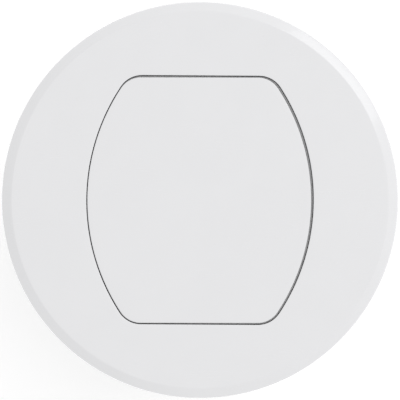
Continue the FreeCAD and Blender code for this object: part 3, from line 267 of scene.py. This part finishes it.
# ---- finishes -------------------------------------------------------------
class Graph:
    """Adds and links nodes in one node tree."""

    def __init__(self, tree: bpy.types.NodeTree) -> None:
        """Keeps the tree and empties it."""
        self.tree = tree
        tree.nodes.clear()

    def add(self, kind: str, **values: object) -> bpy.types.Node:
        """A node of a kind; a value's name is an attribute, or an input with spaces as underscores."""
        node = self.tree.nodes.new(kind)
        for key, value in values.items():
            if hasattr(node, key):
                setattr(node, key, value)
            else:
                node.inputs[key.replace("_", " ")].default_value = value
        return node

    def link(self, source: bpy.types.NodeSocket, target: bpy.types.NodeSocket) -> None:
        """Joins an output to an input."""
        self.tree.links.new(source, target)

    def math(self, operation: str, a: object, b: object = 0.0) -> bpy.types.NodeSocket:
        """A Math node on two sockets or numbers.

        Args:
            operation: Blender's name for it.
            a: socket or number.
            b: socket or number.

        Returns:
            The result.
        """
        node = self.add("ShaderNodeMath", operation=operation)
        for index, value in enumerate((a, b)):
            if isinstance(value, bpy.types.NodeSocket):
                self.link(value, node.inputs[index])
            else:
                node.inputs[index].default_value = value
        return node.outputs[0]

    def spread(self, value: bpy.types.NodeSocket, low: object, high: object, to_low: float = 0.0,
               to_high: float = 1.0) -> bpy.types.NodeSocket:
        """Maps low..high smoothly to to_low..to_high, clamped.

        Args:
            value: what is mapped.
            low: number or socket.
            high: number or socket.
            to_low: result at low.
            to_high: result at high.

        Returns:
            The result.
        """
        node = self.add("ShaderNodeMapRange", interpolation_type="SMOOTHSTEP")
        self.link(value, node.inputs["Value"])
        for name, end in (("From Min", low), ("From Max", high)):
            if isinstance(end, bpy.types.NodeSocket):
                self.link(end, node.inputs[name])
            else:
                node.inputs[name].default_value = end
        node.inputs["To Min"].default_value = to_low
        node.inputs["To Max"].default_value = to_high
        return node.outputs["Result"]

    def mixed(self, factor: bpy.types.NodeSocket, a: object, b: object) -> bpy.types.NodeSocket:
        """Mixes two colours, each a socket or a number list.

        Args:
            factor: 0 gives a, 1 gives b.
            a: first colour.
            b: second colour.

        Returns:
            The mixed colour.
        """
        node = self.add("ShaderNodeMix", data_type="RGBA")
        self.link(factor, node.inputs[0])
        for index, value in ((6, a), (7, b)):
            if isinstance(value, bpy.types.NodeSocket):
                self.link(value, node.inputs[index])
            else:
                node.inputs[index].default_value = (*value, 1.0)
        return node.outputs[2]


class SurfaceGroups:
    """The effects that several finishes share, each a node group made once."""

    def __init__(self) -> None:
        """Makes every group."""
        self.grain = self._grain()
        self.wear = self._wear()
        self.handling = self._handling()
        self.brushing = self._brushing()
        self.dust = self._dust()

    @staticmethod
    def _new(name: str, inputs: dict[str, float], outputs: list[str]
             ) -> tuple[bpy.types.NodeTree, Graph, bpy.types.Node, bpy.types.Node]:
        """An empty group with float sockets.

        Args:
            name: of the group.
            inputs: names and defaults.
            outputs: names.

        Returns:
            The tree, its graph, the input node and the output node.
        """
        tree = bpy.data.node_groups.new(name, "ShaderNodeTree")
        for key, value in inputs.items():
            socket = tree.interface.new_socket(key, in_out="INPUT", socket_type="NodeSocketFloat")
            socket.default_value = value
        for key in outputs:
            tree.interface.new_socket(key, in_out="OUTPUT", socket_type="NodeSocketFloat")
        graph = Graph(tree)
        return tree, graph, graph.add("NodeGroupInput"), graph.add("NodeGroupOutput")

    @staticmethod
    def _position(graph: Graph) -> bpy.types.NodeSocket:
        """Object coordinates."""
        return graph.add("ShaderNodeTexCoord").outputs["Object"]

    def _grain(self) -> bpy.types.NodeTree:
        """Moulded texture: fine cells over a slower unevenness."""
        tree, graph, start, end = self._new("moulded_grain", {"Scale": 2500.0, "Coarse": 0.3},
                                            ["Height", "Mottle"])
        position = self._position(graph)
        cells = graph.add("ShaderNodeTexVoronoi", feature="SMOOTH_F1")
        fine = graph.add("ShaderNodeTexNoise", Detail=3.0, Roughness=0.6)
        slow = graph.add("ShaderNodeTexNoise", Scale=90.0, Detail=2.0)
        for node in (cells, fine, slow):
            graph.link(position, node.inputs["Vector"])
        graph.link(start.outputs["Scale"], cells.inputs["Scale"])
        graph.link(graph.math("MULTIPLY", start.outputs["Scale"], 1.7), fine.inputs["Scale"])
        both = graph.math("MULTIPLY_ADD", cells.outputs["Distance"], 0.6)
        graph.link(fine.outputs[0], both.node.inputs[2])
        swell = graph.math("MULTIPLY", slow.outputs[0], start.outputs["Coarse"])
        graph.link(graph.math("ADD", both, swell), end.inputs["Height"])
        graph.link(graph.spread(slow.outputs[0], 0.3, 0.7), end.inputs["Mottle"])
        return tree

    def _wear(self) -> bpy.types.NodeTree:
        """Rubbed edges: where the rounded normal leaves the true one, broken up by noise."""
        tree, graph, start, end = self._new("edge_wear", {"Width": 0.0004, "Amount": 0.5}, ["Mask"])
        bevel = graph.add("ShaderNodeBevel", samples=BEVEL_SAMPLES)
        graph.link(start.outputs["Width"], bevel.inputs["Radius"])
        true = graph.add("ShaderNodeNewGeometry")
        dot = graph.add("ShaderNodeVectorMath", operation="DOT_PRODUCT")
        graph.link(bevel.outputs[0], dot.inputs[0])
        graph.link(true.outputs["Normal"], dot.inputs[1])
        edge = graph.spread(graph.math("SUBTRACT", 1.0, dot.outputs["Value"]), 0.02, 0.25)
        patches = graph.add("ShaderNodeTexNoise", Scale=260.0, Detail=4.0, Roughness=0.65)
        graph.link(self._position(graph), patches.inputs["Vector"])
        broken = graph.math("MULTIPLY", edge, graph.spread(patches.outputs[0], 0.38, 0.62))
        graph.link(graph.math("MULTIPLY", broken, start.outputs["Amount"]), end.inputs["Mask"])
        return tree

    def _handling(self) -> bpy.types.NodeTree:
        """Soft smears and fine hairline scratches left by hands and wiping."""
        tree, graph, start, end = self._new("handling_marks", {"Scale": 45.0, "Amount": 0.5},
                                            ["Smear", "Scratch"])
        position = self._position(graph)
        smear = graph.add("ShaderNodeTexNoise", Detail=5.0, Roughness=0.55, Distortion=0.8)
        graph.link(position, smear.inputs["Vector"])
        graph.link(start.outputs["Scale"], smear.inputs["Scale"])
        marks = graph.spread(smear.outputs[0], 0.42, 0.68)
        graph.link(graph.math("MULTIPLY", marks, start.outputs["Amount"]), end.inputs["Smear"])
        lines = None
        for turn, stretch in ((0.5, 14.0), (2.1, 20.0)):
            mapping = graph.add("ShaderNodeMapping", Rotation=(0.0, 0.0, turn),
                                Scale=(1.0, stretch, 1.0))
            graph.link(position, mapping.inputs["Vector"])
            hair = graph.add("ShaderNodeTexNoise", Scale=70.0, Detail=1.0)
            graph.link(mapping.outputs[0], hair.inputs["Vector"])
            thin = graph.math("ABSOLUTE", graph.math("SUBTRACT", hair.outputs[0], 0.5))
            line = graph.spread(thin, 0.0, 0.006, 1.0, 0.0)
            lines = line if lines is None else graph.math("MAXIMUM", lines, line)
        sparse = graph.math("MULTIPLY", lines, graph.spread(smear.outputs[0], 0.5, 0.6))
        graph.link(graph.math("MULTIPLY", sparse, start.outputs["Amount"]), end.inputs["Scratch"])
        return tree

    def _brushing(self) -> bpy.types.NodeTree:
        """Fine parallel lines, stretched along X."""
        tree, graph, start, end = self._new("brushed_lines", {"Scale": 900.0, "Stretch": 0.02},
                                            ["Height", "Tone"])
        separate = graph.add("ShaderNodeSeparateXYZ")
        graph.link(self._position(graph), separate.inputs[0])
        join = graph.add("ShaderNodeCombineXYZ")
        for axis, factor in (("X", start.outputs["Stretch"]), ("Y", 1.0), ("Z", 1.0)):
            graph.link(graph.math("MULTIPLY", separate.outputs[axis], factor), join.inputs[axis])
        noise = graph.add("ShaderNodeTexNoise", Detail=4.0, Roughness=0.7)
        graph.link(join.outputs[0], noise.inputs["Vector"])
        graph.link(start.outputs["Scale"], noise.inputs["Scale"])
        graph.link(noise.outputs[0], end.inputs["Height"])
        graph.link(graph.spread(noise.outputs[0], 0.35, 0.65), end.inputs["Tone"])
        return tree

    def _dust(self) -> bpy.types.NodeTree:
        """Specks that settle on faces that look up."""
        tree, graph, start, end = self._new("settled_dust", {"Amount": 0.3}, ["Mask"])
        up = graph.add("ShaderNodeSeparateXYZ")
        graph.link(graph.add("ShaderNodeNewGeometry").outputs["Normal"], up.inputs[0])
        specks = graph.add("ShaderNodeTexNoise", Scale=1500.0, Detail=2.0)
        cloud = graph.add("ShaderNodeTexNoise", Scale=60.0, Detail=3.0)
        for node in (specks, cloud):
            graph.link(self._position(graph), node.inputs["Vector"])
        dots = graph.math("MULTIPLY", graph.spread(specks.outputs[0], 0.6, 0.72),
                          graph.spread(cloud.outputs[0], 0.4, 0.65))
        level = graph.math("MULTIPLY", dots, graph.spread(up.outputs["Z"], 0.5, 0.95))
        graph.link(graph.math("MULTIPLY", level, start.outputs["Amount"]), end.inputs["Mask"])
        return tree


MOTTLE_SHARE = 0.35            # how far the slow mottle carries a colour to its shade
DUST_COLOUR = (0.55, 0.54, 0.52)
SMEAR_ROUGHNESS = 0.12         # what each effect adds to the roughness
SCRATCH_ROUGHNESS = 0.15
DUST_ROUGHNESS = 0.4
BRUSHED_ROUGHNESS = 0.12
COAT_ROUGHNESS = 0.06
BUMP_STRENGTH = 0.6
BEVEL_SAMPLES = 4


@dataclass(frozen=True)
class Finish:
    """A plastic, rubber or enamel surface.

    Attributes:
        name: of the material.
        colour: linear base colour.
        shade: colour that the slow mottle tends to.
        roughness: of the clean surface.
        coat: weight of a clear gloss over it.
        grain: depth of the moulded texture, in metres.
        grain_scale: cells per metre.
        smear: how far hands change the gloss.
        wear: how strongly edges are rubbed.
        dust: how much settles on it.
        metallic: 1 for metal.
        brushed: depth of drawn or brushed lines, in metres.
        brush_scale: lines per metre.
        ior: index of refraction.
        transmission: how much light passes through.
        rounded: radius by which the shading rounds edges, in metres; 0 leaves them sharp.
    """

    name: str
    colour: tuple[float, float, float]
    shade: tuple[float, float, float]
    roughness: float = 0.4
    coat: float = 0.0
    grain: float = 0.00001
    grain_scale: float = 2500.0
    smear: float = 0.3
    wear: float = 0.4
    dust: float = 0.1
    metallic: float = 0.0
    brushed: float = 0.0
    brush_scale: float = 900.0
    ior: float = 1.48
    transmission: float = 0.0
    rounded: float = 0.0

    def build(self, groups: SurfaceGroups) -> bpy.types.Material:
        """Makes the material.

        Args:
            groups: the shared effects.

        Returns:
            The material.
        """
        material = bpy.data.materials.new(self.name)
        material.use_nodes = True
        graph = Graph(material.node_tree)
        output = graph.add("ShaderNodeOutputMaterial")
        shader = graph.add("ShaderNodeBsdfPrincipled", Metallic=self.metallic, IOR=self.ior)
        shader.inputs["Coat Weight"].default_value = self.coat
        shader.inputs["Coat Roughness"].default_value = COAT_ROUGHNESS
        shader.inputs["Transmission Weight"].default_value = self.transmission
        graph.link(shader.outputs[0], output.inputs["Surface"])
        grain = self._group(graph, groups.grain, Scale=self.grain_scale)
        marks = self._group(graph, groups.handling, Amount=self.smear)
        wear = self._group(graph, groups.wear, Amount=self.wear)
        dust = self._group(graph, groups.dust, Amount=self.dust)
        mottle = graph.math("MULTIPLY", grain.outputs["Mottle"], MOTTLE_SHARE)
        colour = graph.mixed(mottle, self.colour, self.shade)
        colour = graph.mixed(wear.outputs["Mask"], colour, self._rubbed())
        colour = graph.mixed(dust.outputs["Mask"], colour, DUST_COLOUR)
        graph.link(colour, shader.inputs["Base Color"])
        rough = graph.math("MULTIPLY_ADD", marks.outputs["Smear"], SMEAR_ROUGHNESS)
        rough.node.inputs[2].default_value = self.roughness
        for mask, share in ((marks.outputs["Scratch"], SCRATCH_ROUGHNESS),
                            (dust.outputs["Mask"], DUST_ROUGHNESS)):
            rough = graph.math("ADD", rough, graph.math("MULTIPLY", mask, share))
        height = graph.math("MULTIPLY", grain.outputs["Height"], self.grain / MM)
        if self.brushed:
            lines = self._group(graph, groups.brushing, Scale=self.brush_scale)
            tone = graph.math("MULTIPLY", lines.outputs["Tone"], BRUSHED_ROUGHNESS)
            rough = graph.math("ADD", rough, tone)
            deep = graph.math("MULTIPLY", lines.outputs["Height"], self.brushed / MM)
            height = graph.math("ADD", height, deep)
        graph.link(rough, shader.inputs["Roughness"])
        bump = graph.add("ShaderNodeBump", Strength=BUMP_STRENGTH, Distance=MM)
        graph.link(height, bump.inputs["Height"])
        if self.rounded:
            edge = graph.add("ShaderNodeBevel", samples=BEVEL_SAMPLES, Radius=self.rounded)
            graph.link(edge.outputs[0], bump.inputs["Normal"])
        graph.link(bump.outputs[0], shader.inputs["Normal"])
        return material

    def _rubbed(self) -> tuple[float, float, float]:
        """Colour of a rubbed edge: a little lighter than the surface, and paler."""
        return tuple(min(1.0, c * 1.25 + 0.03) for c in self.colour)

    @staticmethod
    def _group(graph: Graph, tree: bpy.types.NodeTree, **values: float) -> bpy.types.Node:
        """Places a shared effect with its own values."""
        node = graph.add("ShaderNodeGroup", node_tree=tree)
        for key, value in values.items():
            node.inputs[key].default_value = value
        return node


FINISHES: dict[str, Finish] = {finish.name: finish for finish in (
    Finish("white_gloss", colour=(0.8, 0.8, 0.812), shade=(0.78, 0.78, 0.792), roughness=0.24,
           coat=0.35, grain=0.000003, grain_scale=900.0, smear=0.25, wear=0.12, dust=0.05),
    Finish("white_satin", colour=(0.74, 0.74, 0.745), shade=(0.7, 0.7, 0.7), roughness=0.42,
           grain_scale=2600.0, wear=0.2, dust=0.08, rounded=0.0003),
    Finish("black_housing", colour=(0.02, 0.02, 0.022), shade=(0.03, 0.03, 0.032), roughness=0.46,
           grain=0.00003, grain_scale=2000.0, smear=0.4, wear=0.5, dust=0.25, rounded=0.0003),
    Finish("black_plastic", colour=(0.017, 0.017, 0.018), shade=(0.028, 0.028, 0.03), grain=0.00002,
           grain_scale=2600.0, dust=0.15, rounded=0.0003),
    Finish("socket_black", colour=(0.012, 0.012, 0.013), shade=(0.018, 0.018, 0.02), roughness=0.27,
           coat=0.2, grain=0.000006, grain_scale=3000.0, smear=0.5, wear=0.3, dust=0.08,
           rounded=0.0003),
    Finish("inner_plastic", colour=(0.38, 0.38, 0.36), shade=(0.33, 0.33, 0.31), roughness=0.45,
           grain=0.00002, grain_scale=2400.0, smear=0.2, wear=0.2, dust=0.05),
    Finish("black_rubber", colour=(0.01, 0.01, 0.01), shade=(0.022, 0.021, 0.02), roughness=0.72,
           grain=0.00004, grain_scale=3200.0, smear=0.2, wear=0.15, dust=0.3),
    Finish("grey_rubber", colour=(0.5, 0.5, 0.5), shade=(0.44, 0.44, 0.44), roughness=0.68,
           grain=0.00003, grain_scale=3200.0, smear=0.2, wear=0.1),
    Finish("zinc_steel", colour=(0.56, 0.57, 0.58), shade=(0.46, 0.48, 0.5), roughness=0.3,
           grain_scale=1800.0, smear=0.4, wear=0.3, metallic=1.0, brushed=0.00001, rounded=0.0002),
    Finish("polished_steel", colour=(0.66, 0.66, 0.67), shade=(0.58, 0.58, 0.6), roughness=0.13,
           grain=0.000002, grain_scale=1200.0, wear=0.1, dust=0.05, metallic=1.0, brushed=0.000004,
           brush_scale=1600.0),
    Finish("spring_steel", colour=(0.34, 0.34, 0.36), shade=(0.24, 0.24, 0.25), roughness=0.3,
           grain_scale=3000.0, wear=0.2, dust=0.05, metallic=1.0, brushed=0.000006, brush_scale=2400.0),
    Finish("acetal", colour=(0.7, 0.69, 0.63), shade=(0.64, 0.62, 0.55), roughness=0.36,
           grain_scale=2200.0, smear=0.2, wear=0.2, ior=1.49, rounded=0.0002),
    Finish("brass", colour=(0.62, 0.43, 0.16), shade=(0.48, 0.31, 0.11), roughness=0.28,
           grain_scale=2400.0, smear=0.4, wear=0.2, dust=0.0, metallic=1.0, brushed=0.00001),
    Finish("circuit_board", colour=(0.02, 0.13, 0.05), shade=(0.04, 0.2, 0.07), roughness=0.34,
           coat=0.2, grain_scale=1400.0, smear=0.1, wear=0.3, dust=0.0, rounded=0.0002),
    Finish("test_grey", colour=(0.11, 0.115, 0.12), shade=(0.14, 0.14, 0.145), roughness=0.42,
           grain=0.00002, grain_scale=2600.0, smear=0.4, dust=0.05, rounded=0.0002),
    Finish("reset_red", colour=(0.42, 0.025, 0.02), shade=(0.34, 0.02, 0.016), grain=0.00002,
           grain_scale=2600.0, smear=0.4, dust=0.05, rounded=0.0002),
    Finish("lens_green", colour=(0.1, 0.45, 0.16), shade=(0.08, 0.38, 0.14), roughness=0.14,
           grain=0.000002, grain_scale=900.0, smear=0.2, wear=0.1, dust=0.0, ior=1.49,
           transmission=0.6),
)}


@dataclass
class Dresser:
    """Gives each piece the finish of its slot."""

    groups: SurfaceGroups = field(default_factory=SurfaceGroups)
    made: dict[str, bpy.types.Material] = field(default_factory=dict)

    def material(self, slot: str) -> bpy.types.Material:
        """The material of a slot, made at its first use."""
        if slot not in self.made:
            self.made[slot] = FINISHES[slot].build(self.groups)
        return self.made[slot]

    def dress(self, piece: bpy.types.Object, slot: str) -> None:
        """Puts a slot's material on every face of a piece."""
        piece.data.materials.clear()
        piece.data.materials.append(self.material(slot))


# ---- pieces ---------------------------------------------------------------
@dataclass
class Flange:
    """The white trim ring round the opening."""

    outline: BarrelOutline
    bevel_width: float = 3.3 * MM
    bevel_drop: float = 1.9 * MM
    rim_round: float = 1.0 * MM
    mouth_round: float = 0.3 * MM
    skirt_wall: float = 2.1 * MM
    plate: float = 1.5 * MM
    snap_depth: float = 0.4 * MM
    snap_heights: tuple[float, float, float] = (0.2 * MM, 0.6 * MM, 0.9 * MM)
    inner_bevel_drop: float = 1.5 * MM
    inner_bevel_step: float = 0.4 * MM
    shoulder_ease: float = 0.35 * MM
    mouth_steps: int = 7
    flat_steps: int = 14
    ease_steps: int = 6
    rim_steps: int = 9
    under_steps: int = 6

    def build(self, dresser: Dresser) -> bpy.types.Object:
        """A profile carried round from the barrel-shaped mouth to the round rim and back underneath.

        Each loop is either the barrel outline or a circle with the same directions; the flat top is a
        straight blend between the two, p = (1 - s) barrel + s circle.

        Args:
            dresser: gives the finish.

        Returns:
            The piece.
        """
        low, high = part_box("trim_ring")
        outer, top, bottom = high.x, high.z, low.z
        inner = outer - self.skirt_wall
        shoulder = outer - self.bevel_width
        seat = top - self.plate
        mouth = self.outline.loop(0, seat)
        loops = [mouth]
        out, up = rounding(self.mouth_round, self.mouth_steps)
        loops += [self.outline.loop(-o, top - self.mouth_round + u)
                  for o, u in zip(out, up)]
        lip = loops[-1]
        edge = circle_loop(mouth, shoulder - self.shoulder_ease, top)
        loops += [lip * (1 - s) + edge * s for s in np.linspace(0, 1, self.flat_steps)[1:]]
        loops += [circle_loop(mouth, r, z) for r, z in self._bevel(outer, shoulder, top)]
        bead_start, bead_full, bead_end = (bottom + height for height in self.snap_heights)
        bead = inner - self.snap_depth
        under = [(outer, bottom), (inner, bottom), (bead, bead_start), (bead, bead_full),
                 (inner, bead_end), (inner, seat - self.inner_bevel_drop),
                 (shoulder - self.inner_bevel_step, seat)]
        loops += [circle_loop(mouth, r, z) for r, z in under]
        far = loops[-1]
        loops += [far * (1 - s) + mouth * s for s in np.linspace(0, 1, self.under_steps)[1:-1]]
        piece = made_object("trim_ring_top", [stitched(rows(*loops), Closing.WRAPPED)])
        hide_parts("trim_ring")
        dresser.dress(piece, "white_gloss")
        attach(piece, "housing")
        return piece

    def _bevel(self, outer: float, shoulder: float, top: float) -> list[tuple[float, float]]:
        """Profile of shoulder, slope and rounded rim.

        The slope runs from (shoulder, top) to (outer, top - drop). A small arc eases the shoulder and a
        larger one, tangent to slope and wall, rounds the rim.

        Args:
            outer: outside radius.
            shoulder: radius where the slope starts.
            top: height of the flat.

        Returns:
            (radius, height) points from the shoulder outwards.
        """
        slope = math.atan2(self.bevel_drop, self.bevel_width)
        ease = self.shoulder_ease
        t = np.linspace(0, slope, self.ease_steps)[1:]
        bend = ease / math.tan(slope / 2)
        points = [(shoulder - ease + bend * math.sin(a), top - bend * (1 - math.cos(a))) for a in t]
        turn = math.pi / 2 - slope
        tangent = self.rim_round * math.tan(turn / 2)
        centre = (outer - self.rim_round, top - self.bevel_drop - tangent)
        angles = np.linspace(turn, 0, self.rim_steps)
        points += [(centre[0] + self.rim_round * math.cos(a), centre[1] + self.rim_round * math.sin(a))
                   for a in angles]
        return points


@dataclass
class Lid:
    """The white plate that closes the opening, turned and shifted a little within its gap."""

    outline: BarrelOutline
    gap: float = 0.58 * MM
    plate: float = 1.5 * MM
    edge_round: float = 0.3 * MM
    turn: float = math.radians(0.23)
    shift: tuple[float, float] = (-0.25 * MM, -0.07 * MM)
    post_radius: float = 1.5 * MM
    post_length: float = 3.0 * MM
    post_places: tuple[float, float] = (16.0 * MM, 20.0 * MM)
    post_sides: int = 28
    edge_steps: int = 7
    under_shares: tuple[float, float, int] = (0.05, 0.9, 5)
    top_shares: tuple[float, float, int] = (0.96, 0.04, 14)

    def build(self, dresser: Dresser) -> bpy.types.Object:
        """The plate as shrinking barrel outlines over its edge and in to the middle, with four posts.

        Args:
            dresser: gives the finish.

        Returns:
            The piece.
        """
        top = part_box("lid_cover")[1].z
        under = top - self.plate
        out, up = rounding(self.edge_round, self.edge_steps)
        inwards = self.outline.loop(self.gap + self.edge_round, top)
        loops = [inwards * [s, s, 0] + [0, 0, under] for s in np.linspace(*self.under_shares)]
        loops.append(self.outline.loop(self.gap, under))
        loops += [self.outline.loop(self.gap + o, top - self.edge_round + u) for o, u in zip(out, up)]
        loops += [inwards * [s, s, 1] for s in np.linspace(*self.top_shares)]
        shells = [stitched(rows(*loops), Closing.CAPPED)]
        ring = even_circle(self.post_sides)
        for sx, sy in ((1, 1), (1, -1), (-1, 1), (-1, -1)):
            centre = (sx * self.post_places[0], sy * self.post_places[1])
            post = rows(circle_loop(ring, self.post_radius, under - self.post_length, centre),
                        circle_loop(ring, self.post_radius, under, centre))
            shells.append(stitched(post, Closing.CAPPED))
        piece = made_object("lid_top", [(self._settled(p), f) for p, f in shells])
        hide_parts("lid_cover")
        dresser.dress(piece, "white_gloss")
        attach(piece, "tower")
        return piece

    def _settled(self, points: np.ndarray) -> np.ndarray:
        """Turns points about Z by the lid's turn and adds its shift."""
        c, s = math.cos(self.turn), math.sin(self.turn)
        x = points[:, 0] * c - points[:, 1] * s + self.shift[0]
        y = points[:, 0] * s + points[:, 1] * c + self.shift[1]
        return np.stack([x, y, points[:, 2]], -1)


class Axis(Enum):
    """A coil's direction, as how far its own (across, across, along) order is rolled to reach X, Y, Z."""

    Z = 0
    X = 1
    Y = 2


@dataclass(frozen=True)
class Coil:
    """One compression spring, drawn at the length of the frame's spring node.

    Attributes:
        node: the frame's node that it replaces.
        axis: its direction.
        low_body: body that holds its low end; not used.
        high_body: body that holds its high end; not used.
        wire: wire diameter.
        turns: number of turns.
        closed_turns: turns that lie close together at each end.
        steps_per_turn: sections in each turn.
        sides: points round the wire.
    """

    node: str
    axis: Axis
    low_body: str
    high_body: str
    wire: float = 0.3 * MM
    turns: int = 5
    closed_turns: float = 0.5
    steps_per_turn: int = 32
    sides: int = 8

    def build(self, dresser: Dresser) -> bpy.types.Object:
        """The spring, in place.

        Along its own axis w the centre line is (r cos t, r sin t, w(t)). It rises by one wire per turn
        over the closed end turns and evenly between them.

        Args:
            dresser: gives the finish.

        Returns:
            The piece.
        """
        low, high = (np.roll(np.array(corner), -self.axis.value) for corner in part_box(self.node))
        centre = (low + high) / 2
        radius = (high[0] - low[0] - self.wire) / 2
        bottom, top = low[2] + self.wire / 2, high[2] - self.wire / 2
        closed = self.closed_turns
        t = np.linspace(0, self.turns, self.turns * self.steps_per_turn)
        along = np.interp(t, [0, closed, self.turns - closed, self.turns],
                          [bottom, bottom + closed * self.wire, top - closed * self.wire, top])
        angle = 2 * math.pi * t
        path = np.stack([centre[0] + radius * np.cos(angle), centre[1] + radius * np.sin(angle), along],
                        -1)
        points, faces = swept_tube(path, self.wire / 2, self.sides)
        points = np.roll(points, self.axis.value, axis=-1)
        piece = made_object(self.node + "_coil", [(points, faces)], sharp_angle=60.0)
        dresser.dress(piece, "spring_steel")
        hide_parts(self.node)
        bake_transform(piece)
        return piece


@dataclass
class Springs:
    """Every spring: two lift the tower, two return the buttons and two return the shutters."""

    lift_turns: int = 20
    lift_wire: float = 1.0 * MM
    lift_closed_turns: float = 1.2
    lift_steps: int = 40
    lift_sides: int = 10

    def coils(self) -> list[Coil]:
        """The springs and the bodies that hold their ends."""
        lift = [Coil("lift_spring_" + side, Axis.Z, "housing", "tower", wire=self.lift_wire,
                     turns=self.lift_turns, closed_turns=self.lift_closed_turns,
                     steps_per_turn=self.lift_steps, sides=self.lift_sides)
                for side in ("left", "right")]
        buttons = [Coil(name + "_button_spring", Axis.Y, name + "_button", "tower")
                   for name in ("test", "reset")]
        shutters = [Coil("shutter_spring_" + name, Axis.X, name + "_shutter", "tower")
                    for name in ("upper", "lower")]
        return lift + buttons + shutters

    def build(self, dresser: Dresser) -> list[bpy.types.Object]:
        """Builds every spring with its finish."""
        return [coil.build(dresser) for coil in self.coils()]


# ---- studio ---------------------------------------------------------------
@dataclass(frozen=True)
class Panel:
    """A square area light aimed at the object.

    Attributes:
        name: of the light.
        place: where it stands.
        side: edge length.
        watts: power.
    """

    name: str
    place: tuple[float, float, float]
    side: float
    watts: float

    def build(self) -> None:
        """Adds the light, hidden from the camera."""
        data = bpy.data.lights.new(self.name, "AREA")
        data.size = self.side
        data.energy = self.watts
        light = bpy.data.objects.new(self.name, data)
        light.location = self.place
        light.rotation_euler = (-Vector(self.place)).to_track_quat("-Z", "Y").to_euler()
        light.visible_camera = False
        bpy.context.scene.collection.objects.link(light)


PANELS = (
    Panel("key", place=(0.85, 0.8, 0.95), side=0.9, watts=5.2),
    Panel("fill", place=(0.2, -0.95, 0.6), side=1.0, watts=0.8),
    Panel("overhead", place=(0.0, 0.0, 1.8), side=1.6, watts=1.2),
)


@dataclass
class Studio:
    """Plain pale floor, soft light and a camera straight above."""

    view_width: float = 134.4 * MM
    camera_height: float = 1.2
    roll: float = math.radians(0.36)
    sensor: float = 36.0
    floor_drop: float = 2.0 * MM
    floor_glow: float = 0.3
    floor_reach: float = 3.0
    world_strength: float = 0.8

    def build(self) -> None:
        """Floor, lights, camera and world."""
        low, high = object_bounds()
        self._floor(low.z - self.floor_drop)
        for panel in PANELS:
            panel.build()
        self._camera(high.z)
        self._world()

    def _floor(self, z: float) -> None:
        """A wide, near-white floor with a faint unevenness."""
        mesh = bpy.data.meshes.new("floor")
        reach = self.floor_reach
        mesh.from_pydata([(-reach, -reach, z), (reach, -reach, z), (reach, reach, z), (-reach, reach, z)],
                         [], [(0, 1, 2, 3)])
        floor = bpy.data.objects.new("floor", mesh)
        bpy.context.scene.collection.objects.link(floor)
        material = bpy.data.materials.new("studio_floor")
        material.use_nodes = True
        graph = Graph(material.node_tree)
        output = graph.add("ShaderNodeOutputMaterial")
        shader = graph.add("ShaderNodeBsdfPrincipled", Roughness=0.9)
        shader.inputs["Emission Color"].default_value = (1.0, 1.0, 1.0, 1.0)
        shader.inputs["Emission Strength"].default_value = self.floor_glow
        noise = graph.add("ShaderNodeTexNoise", Scale=3.0, Detail=2.0)
        graph.link(graph.add("ShaderNodeTexCoord").outputs["Object"], noise.inputs["Vector"])
        colour = graph.mixed(noise.outputs[0], (0.93, 0.93, 0.93), (0.96, 0.96, 0.96))
        graph.link(colour, shader.inputs["Base Color"])
        graph.link(shader.outputs[0], output.inputs["Surface"])
        mesh.materials.append(material)
        floor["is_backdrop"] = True

    def _camera(self, top: float) -> None:
        """A long lens straight above, turned by the small roll."""
        data = bpy.data.cameras.new("camera")
        data.sensor_width = self.sensor
        data.lens = self.sensor * self.camera_height / self.view_width
        camera = bpy.data.objects.new("camera", data)
        camera.location = (0.0, 0.0, top + self.camera_height)
        camera.rotation_euler = (0.0, 0.0, self.roll)
        data.clip_end = 10.0
        bpy.context.scene.collection.objects.link(camera)
        bpy.context.scene.camera = camera

    def _world(self) -> None:
        """Even white surroundings and a plain view transform."""
        world = bpy.data.worlds.new("studio")
        world.use_nodes = True
        graph = Graph(world.node_tree)
        background = graph.add("ShaderNodeBackground", Color=(1.0, 1.0, 1.0, 1.0),
                               Strength=self.world_strength)
        graph.link(background.outputs[0], graph.add("ShaderNodeOutputWorld").inputs["Surface"])
        bpy.context.scene.world = world
        bpy.context.scene.view_settings.view_transform = "Standard"


def dress_frame(frame: dict, dresser: Dresser) -> None:
    """Gives every node of the frame the finish of its material slot.

    Args:
        dresser: gives the finish.
    """
    slots = {part["node"]: part["material_slot"] for part in frame["record"]["subparts"]}
    for name, node in sorted(frame["nodes"].items()):
        dresser.dress(node, slots[name])
        LOG.info("%s: %s", name, slots[name])


def opening_outline() -> BarrelOutline:
    """The opening's outline, the driving shape of ring and lid."""
    return BarrelOutline(half_x=38.2 * MM, half_y=41.85 * MM, side_radius=69.2 * MM,
                         corner_radius=8.6 * MM)


def main() -> None:
    """Builds everything in order."""
    logging.basicConfig(level=logging.INFO, format="%(name)s %(message)s")
    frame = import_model()
    dresser = Dresser()
    dress_frame(frame, dresser)
    outline = opening_outline()
    for piece in (Flange(outline).build(dresser), Lid(outline).build(dresser),
                  *Springs().build(dresser)):
        LOG.info("%s: %d faces", piece.name, len(piece.data.polygons))
    Studio().build()


if __name__ == "__main__":
    main()
